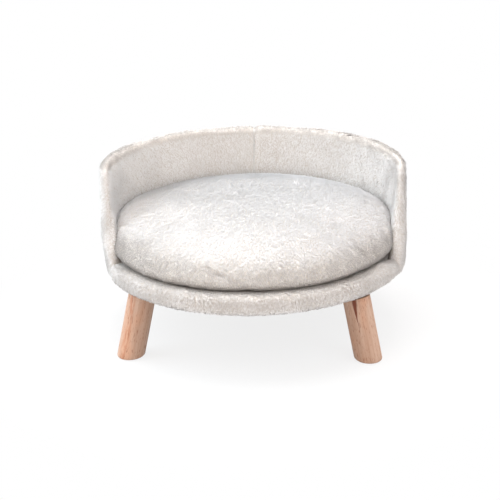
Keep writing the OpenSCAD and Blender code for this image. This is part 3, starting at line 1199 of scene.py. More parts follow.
@dataclass
class BackHalf:
    """One half of the padded back: its cover, its pile and the wadding under them."""

    side: Side
    inset: float = 2.0 * MM
    wall: float = 0.8 * MM
    end_depth: float = 13.0 * MM
    bulge: float = 2.0 * MM
    thinner_in: float = 0.38
    thinner_out: float = 0.22
    right_drop: float = 2.0 * MM
    draw_in: float = 3.0 * MM
    hem_low: float = 0.15 * MM
    foot_round: float = 6.5 * MM
    row_step: float = 2.4 * MM
    rim_rows: int = 10
    nose_columns: int = 9
    columns: int = 150
    bulge_in: Span = (2 * MM, -7 * MM)
    bulge_along: Span = (75 * MM, 12 * MM)
    bulge_z: Span = (0.185, 0.13)
    thin_along: Span = (70 * MM, 8 * MM)
    thin_z: Span = (0.135, 0.19)
    drop_along: Span = (80 * MM, 10 * MM)
    drop_z: float = 0.18
    flare_along: Span = (50 * MM, 0)
    held_along: Span = (8 * MM, 55 * MM)
    low_z: Span = (0.15, 0.095)
    low_front: Span = (40 * MM, -40 * MM)
    seam_gap: float = 0.12 * MM
    seam_w: float = 2.6 * MM
    seam_spread: float = 34 * MM
    wide_lumps: Uneven = Uneven(0.9 * MM, 52 * MM, 4)
    small_lumps: Uneven = Uneven(0.65 * MM, 14 * MM, 5)
    rough: Uneven = Uneven(0.5 * MM, 8 * MM, 9)
    rough_x: Span = (90 * MM, 20 * MM)
    wadding_inset: float = 3.3 * MM
    pile: Pile = field(default_factory=Pile)

    def rows(self, low: float, inset: float) -> Array:
        """Gives the heights of the wall's rows, from its top down.

        Args:
            low: The lowest.
            inset: How far the wall is moved in from its outline.

        Returns:
            The heights, close together over the rim.
        """
        top, r = SOFA.top_z - inset, SOFA.rim_r - inset
        rim = top - r * (1 - np.cos(np.radians(np.linspace(0, 90, self.rim_rows))))
        steps = int((rim[-1] - low) / self.row_step)
        return np.concatenate([rim, np.linspace(rim[-1], low, steps + 1)[1:]])

    def sheet(self, z: Array, inset: float) -> tuple[Array, Array, Array]:
        """Lays the wall out flat.

        Args:
            z: Heights of its rows.
            inset: How far the wall is moved in from its outline.

        Returns:
            For each point its y on the middle of the wall, how far it is from the end edge, and its half
            thickness.
        """
        tall = np.broadcast_to(z[:, None], (len(z), self.columns + self.nose_columns))
        edge = SOFA.end_edge(z, inset)[:, None]
        angles = np.radians(np.linspace(90, 0, self.nose_columns))
        nose = self.end_depth * (1 - np.cos(angles))[None] / math.cos(SOFA.lean)
        start = np.arccos((edge + nose[:, :1]) / SOFA.mid_r)
        even = start * np.linspace(0, 1, self.columns + 1)[None, :-1]
        y = np.hstack([SOFA.mid_r * np.cos(even), edge + nose])
        y_c, z_c = SOFA.corner_centre()
        r = SOFA.end_round - inset
        c, s = math.cos(SOFA.lean), math.sin(SOFA.lean)
        to_line = (y - SOFA.end_line(tall, inset)) * c
        to_top = SOFA.top_z - inset - tall
        ahead, above = y_c - y, tall - z_c
        in_corner = (above * c - ahead * s > 0) & (ahead > 0)
        gap = np.where(in_corner, r - np.hypot(ahead, above), np.minimum(to_line, to_top))
        gap[:, -1] = 0
        gap[0] = 0
        corner_share = np.arctan2(above, np.abs(ahead)) / (math.pi / 2)
        topward = np.where(in_corner, corner_share, to_top < to_line)
        full = SOFA.rim_r - inset
        depth = self.end_depth + (full - self.end_depth) * topward
        power = 2.2 - 0.2 * topward
        share = np.clip(gap / depth, 0, 1)
        thick = full * (1 - (1 - share) ** power) ** (1 / power)
        return y, y - edge, thick

    def bent(self, y: Array, from_end: Array, z: Array, offset: Array) -> Array:
        """Bends the flat wall round the sofa.

        Args:
            y: Each point's y on the middle of the wall.
            from_end: How far it is from the end edge.
            z: Heights.
            offset: How far it stands out from the middle of the wall.

        Returns:
            The places.
        """
        inward = smooth(offset, *self.bulge_in) * smooth(from_end, *self.bulge_along)
        inward = inward * smooth(z, *self.bulge_z)
        near_top = smooth(from_end, *self.thin_along) * smooth(z, *self.thin_z)
        offset = offset * (1 - near_top * np.where(offset < 0, self.thinner_in, self.thinner_out))
        offset = offset - self.bulge * inward
        if self.side is Side.RIGHT:
            z = z - self.right_drop * smooth(from_end, *self.drop_along) * smooth(z, self.drop_z, SOFA.top_z)
        r = SOFA.mid_r + offset
        y = y - SOFA.flare(r, z) * smooth(from_end, *self.flare_along)
        straight = np.arccos(np.clip(y / r, -1, 1))
        round_on = np.arccos(np.clip(y / SOFA.mid_r, -1, 1))
        held = 1 - smooth(from_end, *self.held_along)
        turn = straight * held + round_on * (1 - held)
        return np.stack(np.broadcast_arrays(self.side.value * r * np.sin(turn), r * np.cos(turn), z), -1)

    def seam_dip(self, points: Array, z: Array) -> Array:
        """How far the cover is drawn in beside the seam at the middle of the back.

        Args:
            points: Places.
            z: Their heights.

        Returns:
            The depth at each.
        """
        away = np.abs(points[..., 0])
        flat = np.stack([z * 0, z * 0 + self.side.value, z], -1)
        pucker = lumps(flat.reshape(-1, 3), 9 * MM, 11).reshape(z.shape)
        return (2.5 + 0.9 * pucker) * MM * np.exp(-((away / self.seam_w) ** 2))

    def surface(self, inset: float, low_in: float, hem: bool) -> Array:
        """Gives the grid of the cover: hem, outer wall, rim and inner wall.

        Args:
            inset: How far it is moved in from the outline.
            low_in: The lowest height of its inner wall.
            hem: True if it turns under the board.

        Returns:
            Rows of places, from the hem to the foot of the inner wall.
        """
        low = SOFA.hem_z + self.hem_low
        z = self.rows(low, inset)
        y, from_end, thick = self.sheet(z, inset)
        tall = np.broadcast_to(z[:, None], y.shape)
        under = np.clip(self.foot_round - (tall - low), 0, self.foot_round)
        tuck = self.foot_round - np.sqrt(self.foot_round**2 - under**2)
        outer = self.bent(y, from_end, tall, thick - tuck)
        inner = self.bent(y, from_end, tall, -thick)[z > low_in]
        rows = [outer[::-1], inner[1:]]
        if hem:
            shares = np.linspace(1, 0, 12)[:-1, None, None]
            rim = outer[-1][None]
            radius = np.hypot(rim[..., 0], rim[..., 1])[..., None]
            target = rim * (1 - (radius - SOFA.hem_r) / radius * [1, 1, 0])
            rows.insert(0, rim * (1 - shares) + target * shares)
        return np.concatenate(rows)

    def lumpy(self, points: Array) -> Array:
        """How far the padded cover stands out or in, in wide soft lumps and small ones."""
        return self.wide_lumps.at(points) + self.small_lumps.at(points)

    def cover(self) -> bpy.types.Object:
        """Makes the sheet of the cover, with its lumps, its folds and the turned-in seam.

        Returns:
            The open sheet.
        """
        grid = self.surface(self.inset, SOFA.board_top + 1 * MM, True)
        name = f"back_cover_plush_{self.side.name.lower()}"
        piece = grid_piece(name, grid, Grid.OPEN, self.side is Side.RIGHT)
        weld(piece)
        at, up = read(piece), read(piece, "normal")
        calm = smooth(at[:, 2], SOFA.hem_z + 1 * MM, SOFA.hem_z + 9 * MM)
        fold = self.fold(at) if self.side is Side.RIGHT else 0.0
        move = (self.lumpy(at) + fold) * calm - self.seam_dip(at, at[:, 2])
        at = at + up * move[:, None]
        at[:, 0] += self.side.value * self.seam_gap
        at[:, 0] += SOFA.seam_x * np.exp(-((at[:, 0] / self.seam_spread) ** 2)) * calm
        if self.side is Side.LEFT:
            low = smooth(at[:, 2], *self.low_z) * smooth(at[:, 1], *self.low_front)
            at[:, 0] += self.draw_in * low * (np.hypot(at[:, 0], at[:, 1]) > SOFA.seat_r + 1 * MM)
        write(piece, at)
        return piece

    def fold(self, at: Array) -> Array:
        """Gives the fold beside the seam on the inner wall, and the rough nap round it.

        Args:
            at: Places.

        Returns:
            How far the cover stands out at each.
        """
        inner = np.hypot(at[:, 0], at[:, 1]) < SOFA.mid_r
        wave = np.abs(at[:, 0] - 9 * MM - 2 * MM * np.sin(at[:, 2] * 60))
        fold = 1.1 * MM * np.exp(-((wave / (3.4 * MM)) ** 2)) * inner
        return fold + self.rough.at(at) * smooth(at[:, 0], *self.rough_x) * inner

    def reach(self, points: Array, up: Array) -> Array:
        """Gives the pile's length: short by the seam and where the cushion lies, none under the board.

        Args:
            points: Places.
            up: The cover's normals.

        Returns:
            Shares of the full length.
        """
        r = np.hypot(points[:, 0], points[:, 1])
        shares = smooth(np.abs(points[:, 0] - SOFA.seam_x), -0.6 * MM, 4.5 * MM)
        inside = r < SOFA.seat_r + 6 * MM
        shares = shares * np.where(inside, 0.5 + 0.35 * smooth(points[:, 2], 0.122, 0.135), 1)
        under = (up[:, 2] < -0.8) & (r < SOFA.dust_r + 4 * MM)
        return np.where(under | (inside & (points[:, 2] < SOFA.lip_z)), 0, shares)

    def painted_shading(self, points: Array) -> Array:
        """Gives the pile's tone as painted light and shade: painted light on the inner wall, painted shade
        outside, over the rim, on the left panel beside the seam and in the seam.

        Args:
            points: Places.

        Returns:
            How much deeper the tone is at each.
        """
        r = np.hypot(points[:, 0], points[:, 1])
        outside = smooth(r, SOFA.mid_r - 5 * MM, SOFA.mid_r + 2 * MM)
        rim = smooth(points[:, 2], SOFA.top_z - 12 * MM, SOFA.top_z - 4 * MM)
        left = self.side is Side.LEFT
        # Painted shade on the left panel near the seam, which gets less light.
        beside_seam = 0.2 * smooth(points[:, 0], -150 * MM, -70 * MM) if left else 0.0
        # Painted shade on the outer wall and over the rim; the inner wall keeps a painted light tone.
        tone = np.maximum(0.36 * outside - 0.26 + beside_seam, 0.9 * rim - 0.24)
        # Painted shade down the seam's groove.
        return tone + 0.5 * np.exp(-(((points[:, 0] - SOFA.seam_x) / (2.2 * MM)) ** 2))

    def build(self) -> None:
        """Makes the cover, its pile and the wadding."""
        name = self.side.name.lower()
        cover = self.cover()
        seed = 20 + self.side.value
        tufts = self.pile.grow(f"back_pile_{name}", cover, self.reach, stroked_down, seed, self.painted_shading)
        thicken(cover, self.wall)
        settle(cover, FRAME_BODY, SKIN, [f"back_cover_{name}"])
        for piece in tufts:
            settle(piece, FRAME_BODY, TUFTS)

    def wadding(self) -> bpy.types.Object:
        """Makes this half of the wadding round the panel, as an open sheet.

        Returns:
            The sheet.
        """
        grid = self.surface(self.wadding_inset, SOFA.board_top + 1 * MM, False)
        grid = grid[grid[:, 0, 2] > SOFA.board_z + 1 * MM]
        return grid_piece(f"wadding_{self.side.name.lower()}", grid, Grid.OPEN, self.side is Side.RIGHT)


@dataclass
class Wadding:
    """The wadding round the panel in the back, in one length."""

    columns: int = 90
    thick: float = 3.0 * MM
    sunk: float = 0.15 * MM
    lumps: Uneven = Uneven(0.15 * MM, 12 * MM, 6)

    def build(self) -> None:
        """Joins both halves into one padded piece."""
        halves = [BackHalf(side, columns=self.columns).wadding() for side in Side]
        piece = joined(halves, "back_wadding_roll")
        weld(piece)
        at, up = read(piece), read(piece, "normal")
        write(piece, at + up * (self.lumps.at(at) - self.sunk)[:, None])
        thicken(piece, self.thick)
        settle(piece, FRAME_BODY, WADDING, ["back_wadding"])


@dataclass
class BaseCover:
    """The cover of the seat and of the low lip across the front, with its pile."""

    inset: float = 1.7 * MM
    wall: float = 0.8 * MM
    hem_low: float = 0.15 * MM
    disc_r: float = 178 * MM
    disc_rows: int = 60
    dip: float = 0.8 * MM
    worn_r: float = 172 * MM
    crease: float = 1.8 * MM
    crease_w: float = 5 * MM
    end_gap: float = 0.4 * MM
    side_gap: float = 0.6 * MM
    tuck: float = 11 * MM
    right_lift: float = 2.2 * MM
    lift_z: Span = (0.108, 0.092)
    lift_r: Span = (190 * MM, 207 * MM)
    lift_x: Span = (-20 * MM, 120 * MM)
    # Where the painted shade on the lip beside the cushion rises.
    painted_shade_r: Span = (206 * MM, 195 * MM)
    roll_r: float = 12.3 * MM
    wide_lumps: Uneven = Uneven(0.7 * MM, 30 * MM, 14)
    small_lumps: Uneven = Uneven(0.5 * MM, 12 * MM, 15)
    pile: Pile = field(default_factory=Pile)
    front_columns: int = 200
    rear_columns: int = 200

    def section(self) -> tuple[Array, Array]:
        """Gives the lip's section, from the edge of the seat's disc out, over and under to the hem.

        Returns:
            The radii and heights.
        """
        top, low = SOFA.lip_z - self.inset, SOFA.hem_z + self.hem_low
        half = (top - low) / 2
        out = SOFA.body_r - self.inset
        r_c, z_c = out - self.roll_r, (top + low) / 2
        a = np.radians(np.linspace(90, -90, 34))
        power = np.where(a > 0, 2.7, 2.6)
        r = r_c + self.roll_r * np.abs(np.cos(a)) ** (2 / power)
        z = z_c + half * np.sign(a) * np.abs(np.sin(a)) ** (2 / power)
        seat = np.linspace(self.disc_r, r_c, 9)[:-1]
        hem = np.linspace(r_c, SOFA.hem_r, 10)[1:]
        dip = self.dip * smooth(seat, r_c, self.disc_r)
        return (
            np.concatenate([seat, r, hem]),
            np.concatenate([top - dip, z, np.full(len(hem), low)]),
        )

    def ring(self) -> Array:
        """Lays out the lip round the front and the turned-down edge round the rest.

        Returns:
            Rows of places, from the edge of the disc out, over and under.
        """
        r, z = (k[:, None] for k in self.section())
        side = np.linspace(-1, 1, self.front_columns)[None]
        side = np.sin(side * math.pi / 2 * 0.9) / math.sin(math.pi / 2 * 0.9)
        end = np.arcsin(np.clip(-SOFA.lip_end(r, z, self.end_gap) / r, -1, 1))
        lip = polar(r, -math.pi / 2 + side * (math.pi / 2 - end), z)
        first = -end[:1]
        turn = first + np.linspace(0, 1, self.rear_columns)[None] * (math.pi - 2 * first)
        edge_r = SOFA.seat_r - self.side_gap
        past = np.maximum.accumulate(r > edge_r, 0)
        drop = past * np.linspace(0, self.tuck, len(r))[:, None]
        rear = polar(np.where(past, edge_r, r), turn, np.where(past, SOFA.lip_z - self.inset - drop, z))
        return np.hstack([lip, rear[:, 1:-1]])

    def cover(self) -> bpy.types.Object:
        """Makes the sheet: the ring of lip and turned-down edge, and the seat's disc inside it.

        Returns:
            The open sheet.
        """
        ring = self.ring()
        steps = np.linspace(0, 1, self.disc_rows)[:-1, None, None]
        disc = ring[:1] * [1, 1, 0] * steps + ring[:1] * [0, 0, 1]
        piece = grid_piece("base_cover_plush", np.concatenate([disc, ring]), flip=True)
        self.open_gap(piece, len(disc), ring.shape[1])
        weld(piece)
        at, up = read(piece), read(piece, "normal")
        calm = smooth(at[:, 2], SOFA.hem_z + 0.3 * MM, SOFA.hem_z + 5 * MM)
        r = np.hypot(at[:, 0], at[:, 1])
        soft = self.wide_lumps.at(at) + self.small_lumps.at(at)
        from_back = SOFA.lip_end(r, at[:, 2], 0) - at[:, 1]
        on_lip = (at[:, 1] < 0) & (r > SOFA.seat_r - 6 * MM)
        crease = self.crease * np.exp(-((from_back / self.crease_w) ** 2)) * on_lip
        at = SOFA.sunk(at + up * (soft * calm - crease)[:, None])
        raised = smooth(at[:, 2], *self.lift_z) * smooth(r, *self.lift_r) * smooth(at[:, 0], *self.lift_x)
        at[:, 2] += self.right_lift * raised * on_lip
        write(piece, at)
        return piece

    def open_gap(self, piece: bpy.types.Object, first_row: int, columns: int) -> None:
        """Takes out the stretched faces between the ends of the lip and the turned-down edge.

        Args:
            piece: The sheet.
            first_row: Its first row outside the disc.
            columns: Number of points in a row.
        """
        built = bmesh.new()
        built.from_mesh(piece.data)
        built.faces.ensure_lookup_table()
        last = self.front_columns - 1
        worst = [
            built.faces[row * columns + column]
            for row in range(first_row + 7, len(built.faces) // columns)
            for column in (last, columns - 1)
        ]
        bmesh.ops.delete(built, geom=worst, context="FACES")
        built.to_mesh(piece.data)
        built.free()

    def reach(self, points: Array, up: Array) -> Array:
        """Gives the length of the lip's pile: none under the cushion or under the board.

        Args:
            points: Places.
            up: The cover's normals.

        Returns:
            Shares of the full length.
        """
        r = np.hypot(points[:, 0], points[:, 1])
        shares = 0.42 + 0.58 * smooth(r, 176 * MM, 190 * MM)
        hidden = (up[:, 2] < -0.8) & (r < SOFA.dust_r + 4 * MM)
        tucked = (r < SOFA.seat_r) & (points[:, 2] < SOFA.lip_z - 4 * MM - SOFA.end_drop)
        return np.where(hidden | tucked | (r < self.worn_r), 0, shares)

    def painted_shading(self, points: Array) -> Array:
        """The deeper tone of the lip's pile: painted shade all over it, deepest beside the cushion, under
        its edge.
        """
        r = np.hypot(points[:, 0], points[:, 1])
        return 0.16 + 0.4 * smooth(r, *self.painted_shade_r)

    def seat_reach(self, points: Array, up: Array) -> Array:
        """Share of the full length of the seat's pile, which the cushion presses flat."""
        r = np.hypot(points[:, 0], points[:, 1])
        return np.where((r < self.worn_r) & (up[:, 2] > 0), 0.84, 0)

    def build(self) -> None:
        """Makes the cover and its pile."""
        cover = self.cover()
        seat = Pile(length=5 * MM, width=1.9 * MM, spacing=3.1 * MM)
        tufts = self.pile.grow("lip_pile", cover, self.reach, stroked_down, 31, self.painted_shading)
        tufts += seat.grow("seat_pile", cover, self.seat_reach, stroked_down, 32)
        thicken(cover, self.wall)
        settle(cover, FRAME_BODY, SKIN, ["base_cover"])
        for piece in tufts:
            settle(piece, FRAME_BODY, TUFTS)


@dataclass
class BaseFoam:
    """The foam sheet on the board and the foam roll in the lip."""

    turns: int = 120
    low_gap: float = 0.1 * MM
    top_gap: float = 0.3 * MM
    side_gap: float = 1.6 * MM
    worn: float = 0.15 * MM
    sunk: float = 1.2 * MM
    roll_inset: float = 4.2 * MM
    roll_top_r: float = 7 * MM
    roll_low_r: float = 9 * MM
    roll_end: float = 2.0 * MM

    def sheet(self) -> None:
        """Makes the foam sheet, a closed disc with soft edges."""
        low, high = SOFA.board_top + self.low_gap, SOFA.foam_top - self.top_gap
        r = SOFA.seat_r - self.side_gap
        a = np.radians(np.linspace(90, -90, 9))
        half = (high - low) / 2
        rim_r = r - half + half * np.cos(a)
        rim_z = (high + low) / 2 + half * np.sin(a)
        flat = np.linspace(0, r - half, 18)[:-1]
        radii = np.concatenate([flat, rim_r, flat[::-1]])[:, None]
        heights = np.concatenate([flat * 0 + high, rim_z, flat * 0 + low])[:, None]
        turn = np.linspace(0, 2 * math.pi, self.turns + 1)[None, :-1]
        piece = grid_piece("seat_foam_sheet", polar(radii, turn, heights))
        weld(piece, True)
        at = read(piece)
        at = at - [0, 0, 1] * (self.worn * (1 + lumps(at, 25 * MM, 8)) * (at[:, 2] > low))[:, None]
        write(piece, SOFA.sunk(at, self.sunk))
        settle(piece, FRAME_BODY, FOAM, ["base_foam"])

    def roll(self) -> None:
        """Makes the roll: the lip's round section swept round the front, closed at its ends."""
        out, top = SOFA.body_r - self.roll_inset, SOFA.lip_z - self.roll_inset
        r_in, low = SOFA.board_r + 0.3 * MM, SOFA.board_z + 0.9 * MM
        seat = SOFA.seat_r + 0.4 * MM
        step_z = SOFA.board_top + 0.2 * MM
        a = np.radians(np.linspace(90, 0, 8))
        over = polar(self.roll_top_r, a, 0)
        under = polar(self.roll_low_r, -a[::-1], 0)
        arcs_r = out - self.roll_top_r + over[:, 0], out - self.roll_low_r + under[:, 0]
        arcs_z = top - self.roll_top_r + over[:, 1], low + self.roll_low_r + under[:, 1]
        r = np.concatenate([[r_in, seat, seat], *arcs_r, [r_in]])
        z = np.concatenate([[step_z, step_z, top], *arcs_z, [low]])
        side = np.linspace(-1, 1, self.turns)[:, None]
        end = np.arcsin(np.clip(-SOFA.lip_end(r, z, self.roll_end) / r, -1, 1))[None]
        piece = bar("lip_foam_roll", polar(r[None], -math.pi / 2 + side * (math.pi / 2 - end), z[None]))
        write(piece, SOFA.sunk(read(piece), self.sunk))
        settle(piece, FRAME_BODY, FOAM, ["lip_foam"])

    def build(self) -> None:
        """Makes the sheet and the roll."""
        self.sheet()
        self.roll()


@dataclass(frozen=True)
class Bulge:
    """How the cushion's section is rounded, at its rear or at its front."""

    top_power: float
    low_power: float
    waist_drop: float


@dataclass
class Cushion:
    """The loose cushion: a swollen form, its two covers with their pile, its filling and its zip opening."""

    inset: float = 0.8 * MM
    start_inset: float = 5.5 * MM
    voxel: float = 5 * MM
    pressure: float = 4.0
    cap: float = 6 * MM
    wall: float = 0.8 * MM
    columns: int = 300
    zip_half: float = 32.0
    zip_w: float = 12 * MM
    fullness: float = 6.5 * MM
    dome: float = 6.0 * MM
    rear: Bulge = Bulge(4.2, 5.0, 0.0)
    front: Bulge = Bulge(2.1, 3.6, 10 * MM)
    widening: float = 1.2 * MM
    forward: float = 3.0 * MM
    side_full: float = 5.0 * MM
    spread: float = 26.0
    left_push: float = 2.6 * MM
    right_draw: float = 3.5 * MM
    fold_depth: float = 2.4 * MM
    swelling: float = 0.0
    cast_from: float = 0.02
    cast_far: float = 0.05
    gain_span: Span = (-2.0 * MM, 1.2 * MM)
    gain_share: float = 0.4
    most_out: float = 1.2 * MM
    rim_r: float = 0.15
    seam_w: float = 3.0 * MM
    low_z: float = 0.1215
    low_w: float = 8 * MM
    edge_z: Span = (0.160, 0.142)
    wide_lumps: Uneven = Uneven(0.9 * MM, 75 * MM, 42)
    mid_lumps: Uneven = Uneven(0.3 * MM, 28 * MM, 43)
    edge_lumps: Uneven = Uneven(1.5 * MM, 13 * MM, 45)
    filling_inset: float = 8 * MM
    filling_lumps: Uneven = Uneven(0.8 * MM, 30 * MM, 44)
    pile: Pile = field(
        default_factory=lambda: Pile(spacing=1.53 * MM, gather=0.13, unruly=0.12, ruffle=2.5, patches=0.12)
    )

    def form(self, t: Array, turn: Array, inset: float) -> tuple[Array, Array]:
        """Gives the cushion's plump form, which is rounder at the front.

        Args:
            t: Degrees round the section, from -90 under the middle to 90 over it.
            turn: Radians about the middle, from +X.
            inset: How far it is moved in.

        Returns:
            The radii and heights, by row and column.
        """
        front = smooth(-np.sin(turn), -0.35, 0.6)[None]
        ends = [self.section(t, bulge, inset) for bulge in (self.rear, self.front)]
        return tuple(a[:, None] * (1 - front) + b[:, None] * front for a, b in zip(*ends))

    def section(self, t: Array, bulge: Bulge, inset: float) -> tuple[Array, Array]:
        """Gives points of one section.

        Args:
            t: Degrees, from -90 under the middle to 90 over it.
            bulge: How it is rounded.
            inset: How far it is moved in.

        Returns:
            The radii and heights.
        """
        waist = SOFA.waist_z - bulge.waist_drop
        tall = np.where(t > 0, SOFA.cushion_top + self.dome - waist, waist - SOFA.cushion_low) - inset
        power = 2 / np.where(t > 0, bulge.top_power, bulge.low_power)
        a = np.radians(t)
        r = (SOFA.cushion_r - inset) * np.abs(np.cos(a)) ** power
        return r, waist + tall * np.sign(t) * np.abs(np.sin(a)) ** power

    def revolved(self, name: str, inset: float) -> bpy.types.Object:
        """Makes the closed plain form of the cushion, moved in by an inset.

        Args:
            name: Name of the object.
            inset: How far it is moved in.

        Returns:
            The object.
        """
        turn = np.linspace(0, 2 * math.pi, 121)[:-1]
        r, z = self.form(np.linspace(-90, 90, 61), turn, inset)
        piece = grid_piece(name, polar(np.where(r < 1e-5, 0, r), turn[None], z))
        weld(piece, True)
        return piece

    def swollen(self) -> BVHTree:
        """Swells a slightly smaller form, for the covers to lie on.

        Returns:
            Its surface.
        """
        form = self.revolved("cushion_form", self.start_inset)
        finish_with(form, "REMESH", mode="VOXEL", voxel_size=self.voxel, use_smooth_shade=True)
        at = read(form)
        seam_z = self.seam_z()
        rim = np.hypot(at[:, 0], at[:, 1]) > 120 * MM
        held = np.exp(-(((at[:, 2] - seam_z) / (4 * MM)) ** 2)) * rim
        swell(form, self.pressure, self.cap, held)
        self.swelling = float(np.median(np.linalg.norm(read(form) - at, axis=1)))
        finish_with(form, "SUBSURF", levels=1, render_levels=1)
        surface = BVHTree.FromObject(form, bpy.context.evaluated_depsgraph_get())
        bpy.data.objects.remove(form)
        return surface

    def seam_z(self) -> float:
        """Height of the seam."""
        return float(SOFA.cushion_point(np.array([-SOFA.seam_t]), 0)[1][0])

    def profile(self, low: float, high: float, rows: int, turn: Array) -> tuple[Array, Array, Array, Array]:
        """Lays points evenly along a stretch of each column's section.

        Args:
            low: Where it starts, in degrees.
            high: Where it ends.
            rows: Number of points.
            turn: Radians about the middle, from +X.

        Returns:
            Radii, heights, and the outward normal's r and z, each by row and column.
        """
        t, skip = np.linspace(low, high, 900), self.skip(turn)
        laid = []
        for column, (r, z) in enumerate(zip(*(a.T for a in self.form(t, turn, self.inset)))):
            run = np.concatenate([[0], np.cumsum(np.hypot(np.diff(r), np.diff(z)))])
            at = (run[-1] - skip[column]) * np.linspace(0, 1, rows)
            if abs(high) > abs(low):
                at = at + skip[column]
            dr, dz = np.gradient(r, run), np.gradient(z, run)
            size = np.hypot(dr, dz)
            laid.append([np.interp(at, run, k) for k in (r, z, dz / size, -dr / size)])
        return tuple(np.array(laid).transpose(1, 2, 0))

    def skip(self, turn: Array) -> Array:
        """Gives the length that the zip's opening takes from each cover.

        Args:
            turn: Radians about the middle, from +X.

        Returns:
            The length at each turn.
        """
        away = np.abs(np.degrees(turn) - 90)
        opened = smooth(away, self.zip_half + 0.8, self.zip_half - 0.8)
        return 0.15 * MM + (self.zip_w / 2 - 0.5 * MM) * opened

    def laid(self, flat: Array, ways: Array, surface: BVHTree) -> Array:
        """Lays places on the swollen form.

        Args:
            flat: Places on the plain form.
            ways: The outward normals there.
            surface: The swollen form.

        Returns:
            The places on it, or the old ones where it is missed.
        """
        found = []
        for p, n in zip(flat, ways):
            hit = surface.ray_cast(Vector(p - n * self.cast_from), Vector(n), self.cast_far)[0]
            found.append((Vector(p) if hit is None else hit)[:])
        return np.array(found)

    def cover(self, name: str, low: float, high: float, rows: int, surface: BVHTree) -> bpy.types.Object:
        """Makes one cover on the swollen form.

        Args:
            name: Name of the piece.
            low: Where its section starts, in degrees.
            high: Where it ends.
            rows: Number of rows along the section.
            surface: The swollen form.

        Returns:
            An open sheet.
        """
        turn = np.linspace(0, 2 * math.pi, self.columns + 1)[:-1]
        r, z, nr, nz = self.profile(low, high, rows, turn)
        flat = polar(r, turn[None], z).reshape(-1, 3)
        ways = units(polar(nr, turn[None], nz).reshape(-1, 3))
        gain = ((self.laid(flat, ways, surface) - flat) * ways).sum(1)
        gain = gain + self.start_inset - self.inset - self.swelling
        gain = np.clip(gain, *self.gain_span) * self.gain_share
        rim = np.hypot(flat[:, 0], flat[:, 1]) > self.rim_r
        seam_z = np.tile(self.form(np.array([-SOFA.seam_t]), turn, 0)[1][0], rows)
        beside = np.exp(-(((flat[:, 2] - seam_z) / self.seam_w) ** 2)) * rim
        pucker = lumps(flat * [1, 1, 0.2], 11 * MM, 41)
        wide = self.wide_lumps.at(flat) + self.mid_lumps.at(flat)
        wide = wide + self.edge_lumps.at(flat) * smooth(flat[:, 2], *self.edge_z) * rim
        from_zip = np.abs(np.arctan2(flat[:, 0], flat[:, 1]))
        loose = smooth(from_zip, math.radians(self.zip_half + 4), math.radians(self.zip_half + 26))
        low_side = np.exp(-(((flat[:, 2] - self.low_z) / self.low_w) ** 2)) * rim
        move = (gain + wide) * (1 - beside) - beside * (1.5 + 0.8 * pucker) * MM * (1 - 0.6 * loose)
        move = np.minimum(move, self.most_out) + self.fullness * loose * low_side
        flat = flat + ways * (move - self.fold(flat))[:, None]
        flat[:, :2] *= 1 + (self.plan(flat) / SOFA.cushion_r * (0.3 + 0.7 * loose))[:, None]
        flat[:, 2] = np.maximum(flat[:, 2], SOFA.cushion_low + 0.4 * MM)
        piece = mesh_piece(name, flat, [quads(rows, self.columns, Grid.RING)])
        weld(piece)
        return piece

    def plan(self, points: Array) -> Array:
        """Gives how far the outline stands out from a circle: most at the sides and the front.

        Args:
            points: Places.

        Returns:
            The reach at each.
        """
        turn = np.degrees(np.arctan2(points[:, 0], -points[:, 1]))
        left, right = (np.exp(-(((turn - middle) / self.spread) ** 2)) for middle in (-40, 50))
        sides = np.exp(-(((np.abs(turn) - 85) / self.spread) ** 2))
        shape = self.widening + self.forward * smooth(np.abs(turn), 62, 30) + self.side_full * sides
        return shape + self.left_push * left - self.right_draw * right

    def fold(self, points: Array) -> Array:
        """Gives the crease that runs down to the left of the cushion's front edge.

        Args:
            points: Places.

        Returns:
            Its depth at each.
        """
        turn = np.degrees(np.arctan2(points[:, 0], -points[:, 1]))
        line = 0.138 - 0.0011 * (turn + 17) + 0.0008 * np.sin(turn * 0.9)
        along = smooth(turn, -24, -17) * smooth(turn, 6, -3)
        side = np.hypot(points[:, 0], points[:, 1]) > 165 * MM
        return self.fold_depth * np.exp(-(((points[:, 2] - line) / (2.6 * MM)) ** 2)) * along * side

    def nap(self, points: Array, up: Array) -> Array:
        """Gives the nap: forwards over the top and down the sides, with swirls at the edge.

        Args:
            points: Places.
            up: The cover's normals; not used.

        Returns:
            The way that the pile is stroked at each.
        """
        down = smooth(points[:, 1], 60 * MM, -120 * MM)
        flow = np.array([0.3, -1.0, 0]) + np.outer(down, [0, 0, -1.0]) + units(points * [1, 1, 0]) * 0.15
        edge = smooth(points[:, 2], 0.154, 0.142)
        return flow + 0.9 * swirls(points, 15 * MM, 57) * edge[:, None]

    def painted_shading(self, points: Array) -> Array:
        """Gives the tone of the top's pile as painted light and shade: light over the top, painted shade
        down its edge, to the left and to the front.

        Args:
            points: Places.

        Returns:
            How much deeper it is at each.
        """
        left = smooth(-points[:, 0], 30 * MM, 150 * MM)
        front = smooth(-points[:, 1], -10 * MM, 110 * MM)
        return 0.6 * smooth(points[:, 2], 0.158, 0.130) - 0.28 + 0.16 * left + 0.14 * front

    def top_reach(self, points: Array, up: Array) -> Array:
        """Gives the length of the top's pile, which is shorter beside the zip.

        Args:
            points: Places.
            up: The cover's normals; not used.

        Returns:
            Shares of the full length.
        """
        from_zip = np.abs(np.arctan2(points[:, 0], points[:, 1]))
        beside = 1 - smooth(from_zip, math.radians(self.zip_half), math.radians(self.zip_half + 14))
        near = smooth(points[:, 2], self.seam_z() + 12 * MM, self.seam_z() + 1 * MM)
        return 1 - 0.6 * beside * near

    def low_reach(self, points: Array, up: Array) -> Array:
        """Share of the full pile on the underside: pressed flat but for its rim."""
        return np.full(len(points), 0.5)

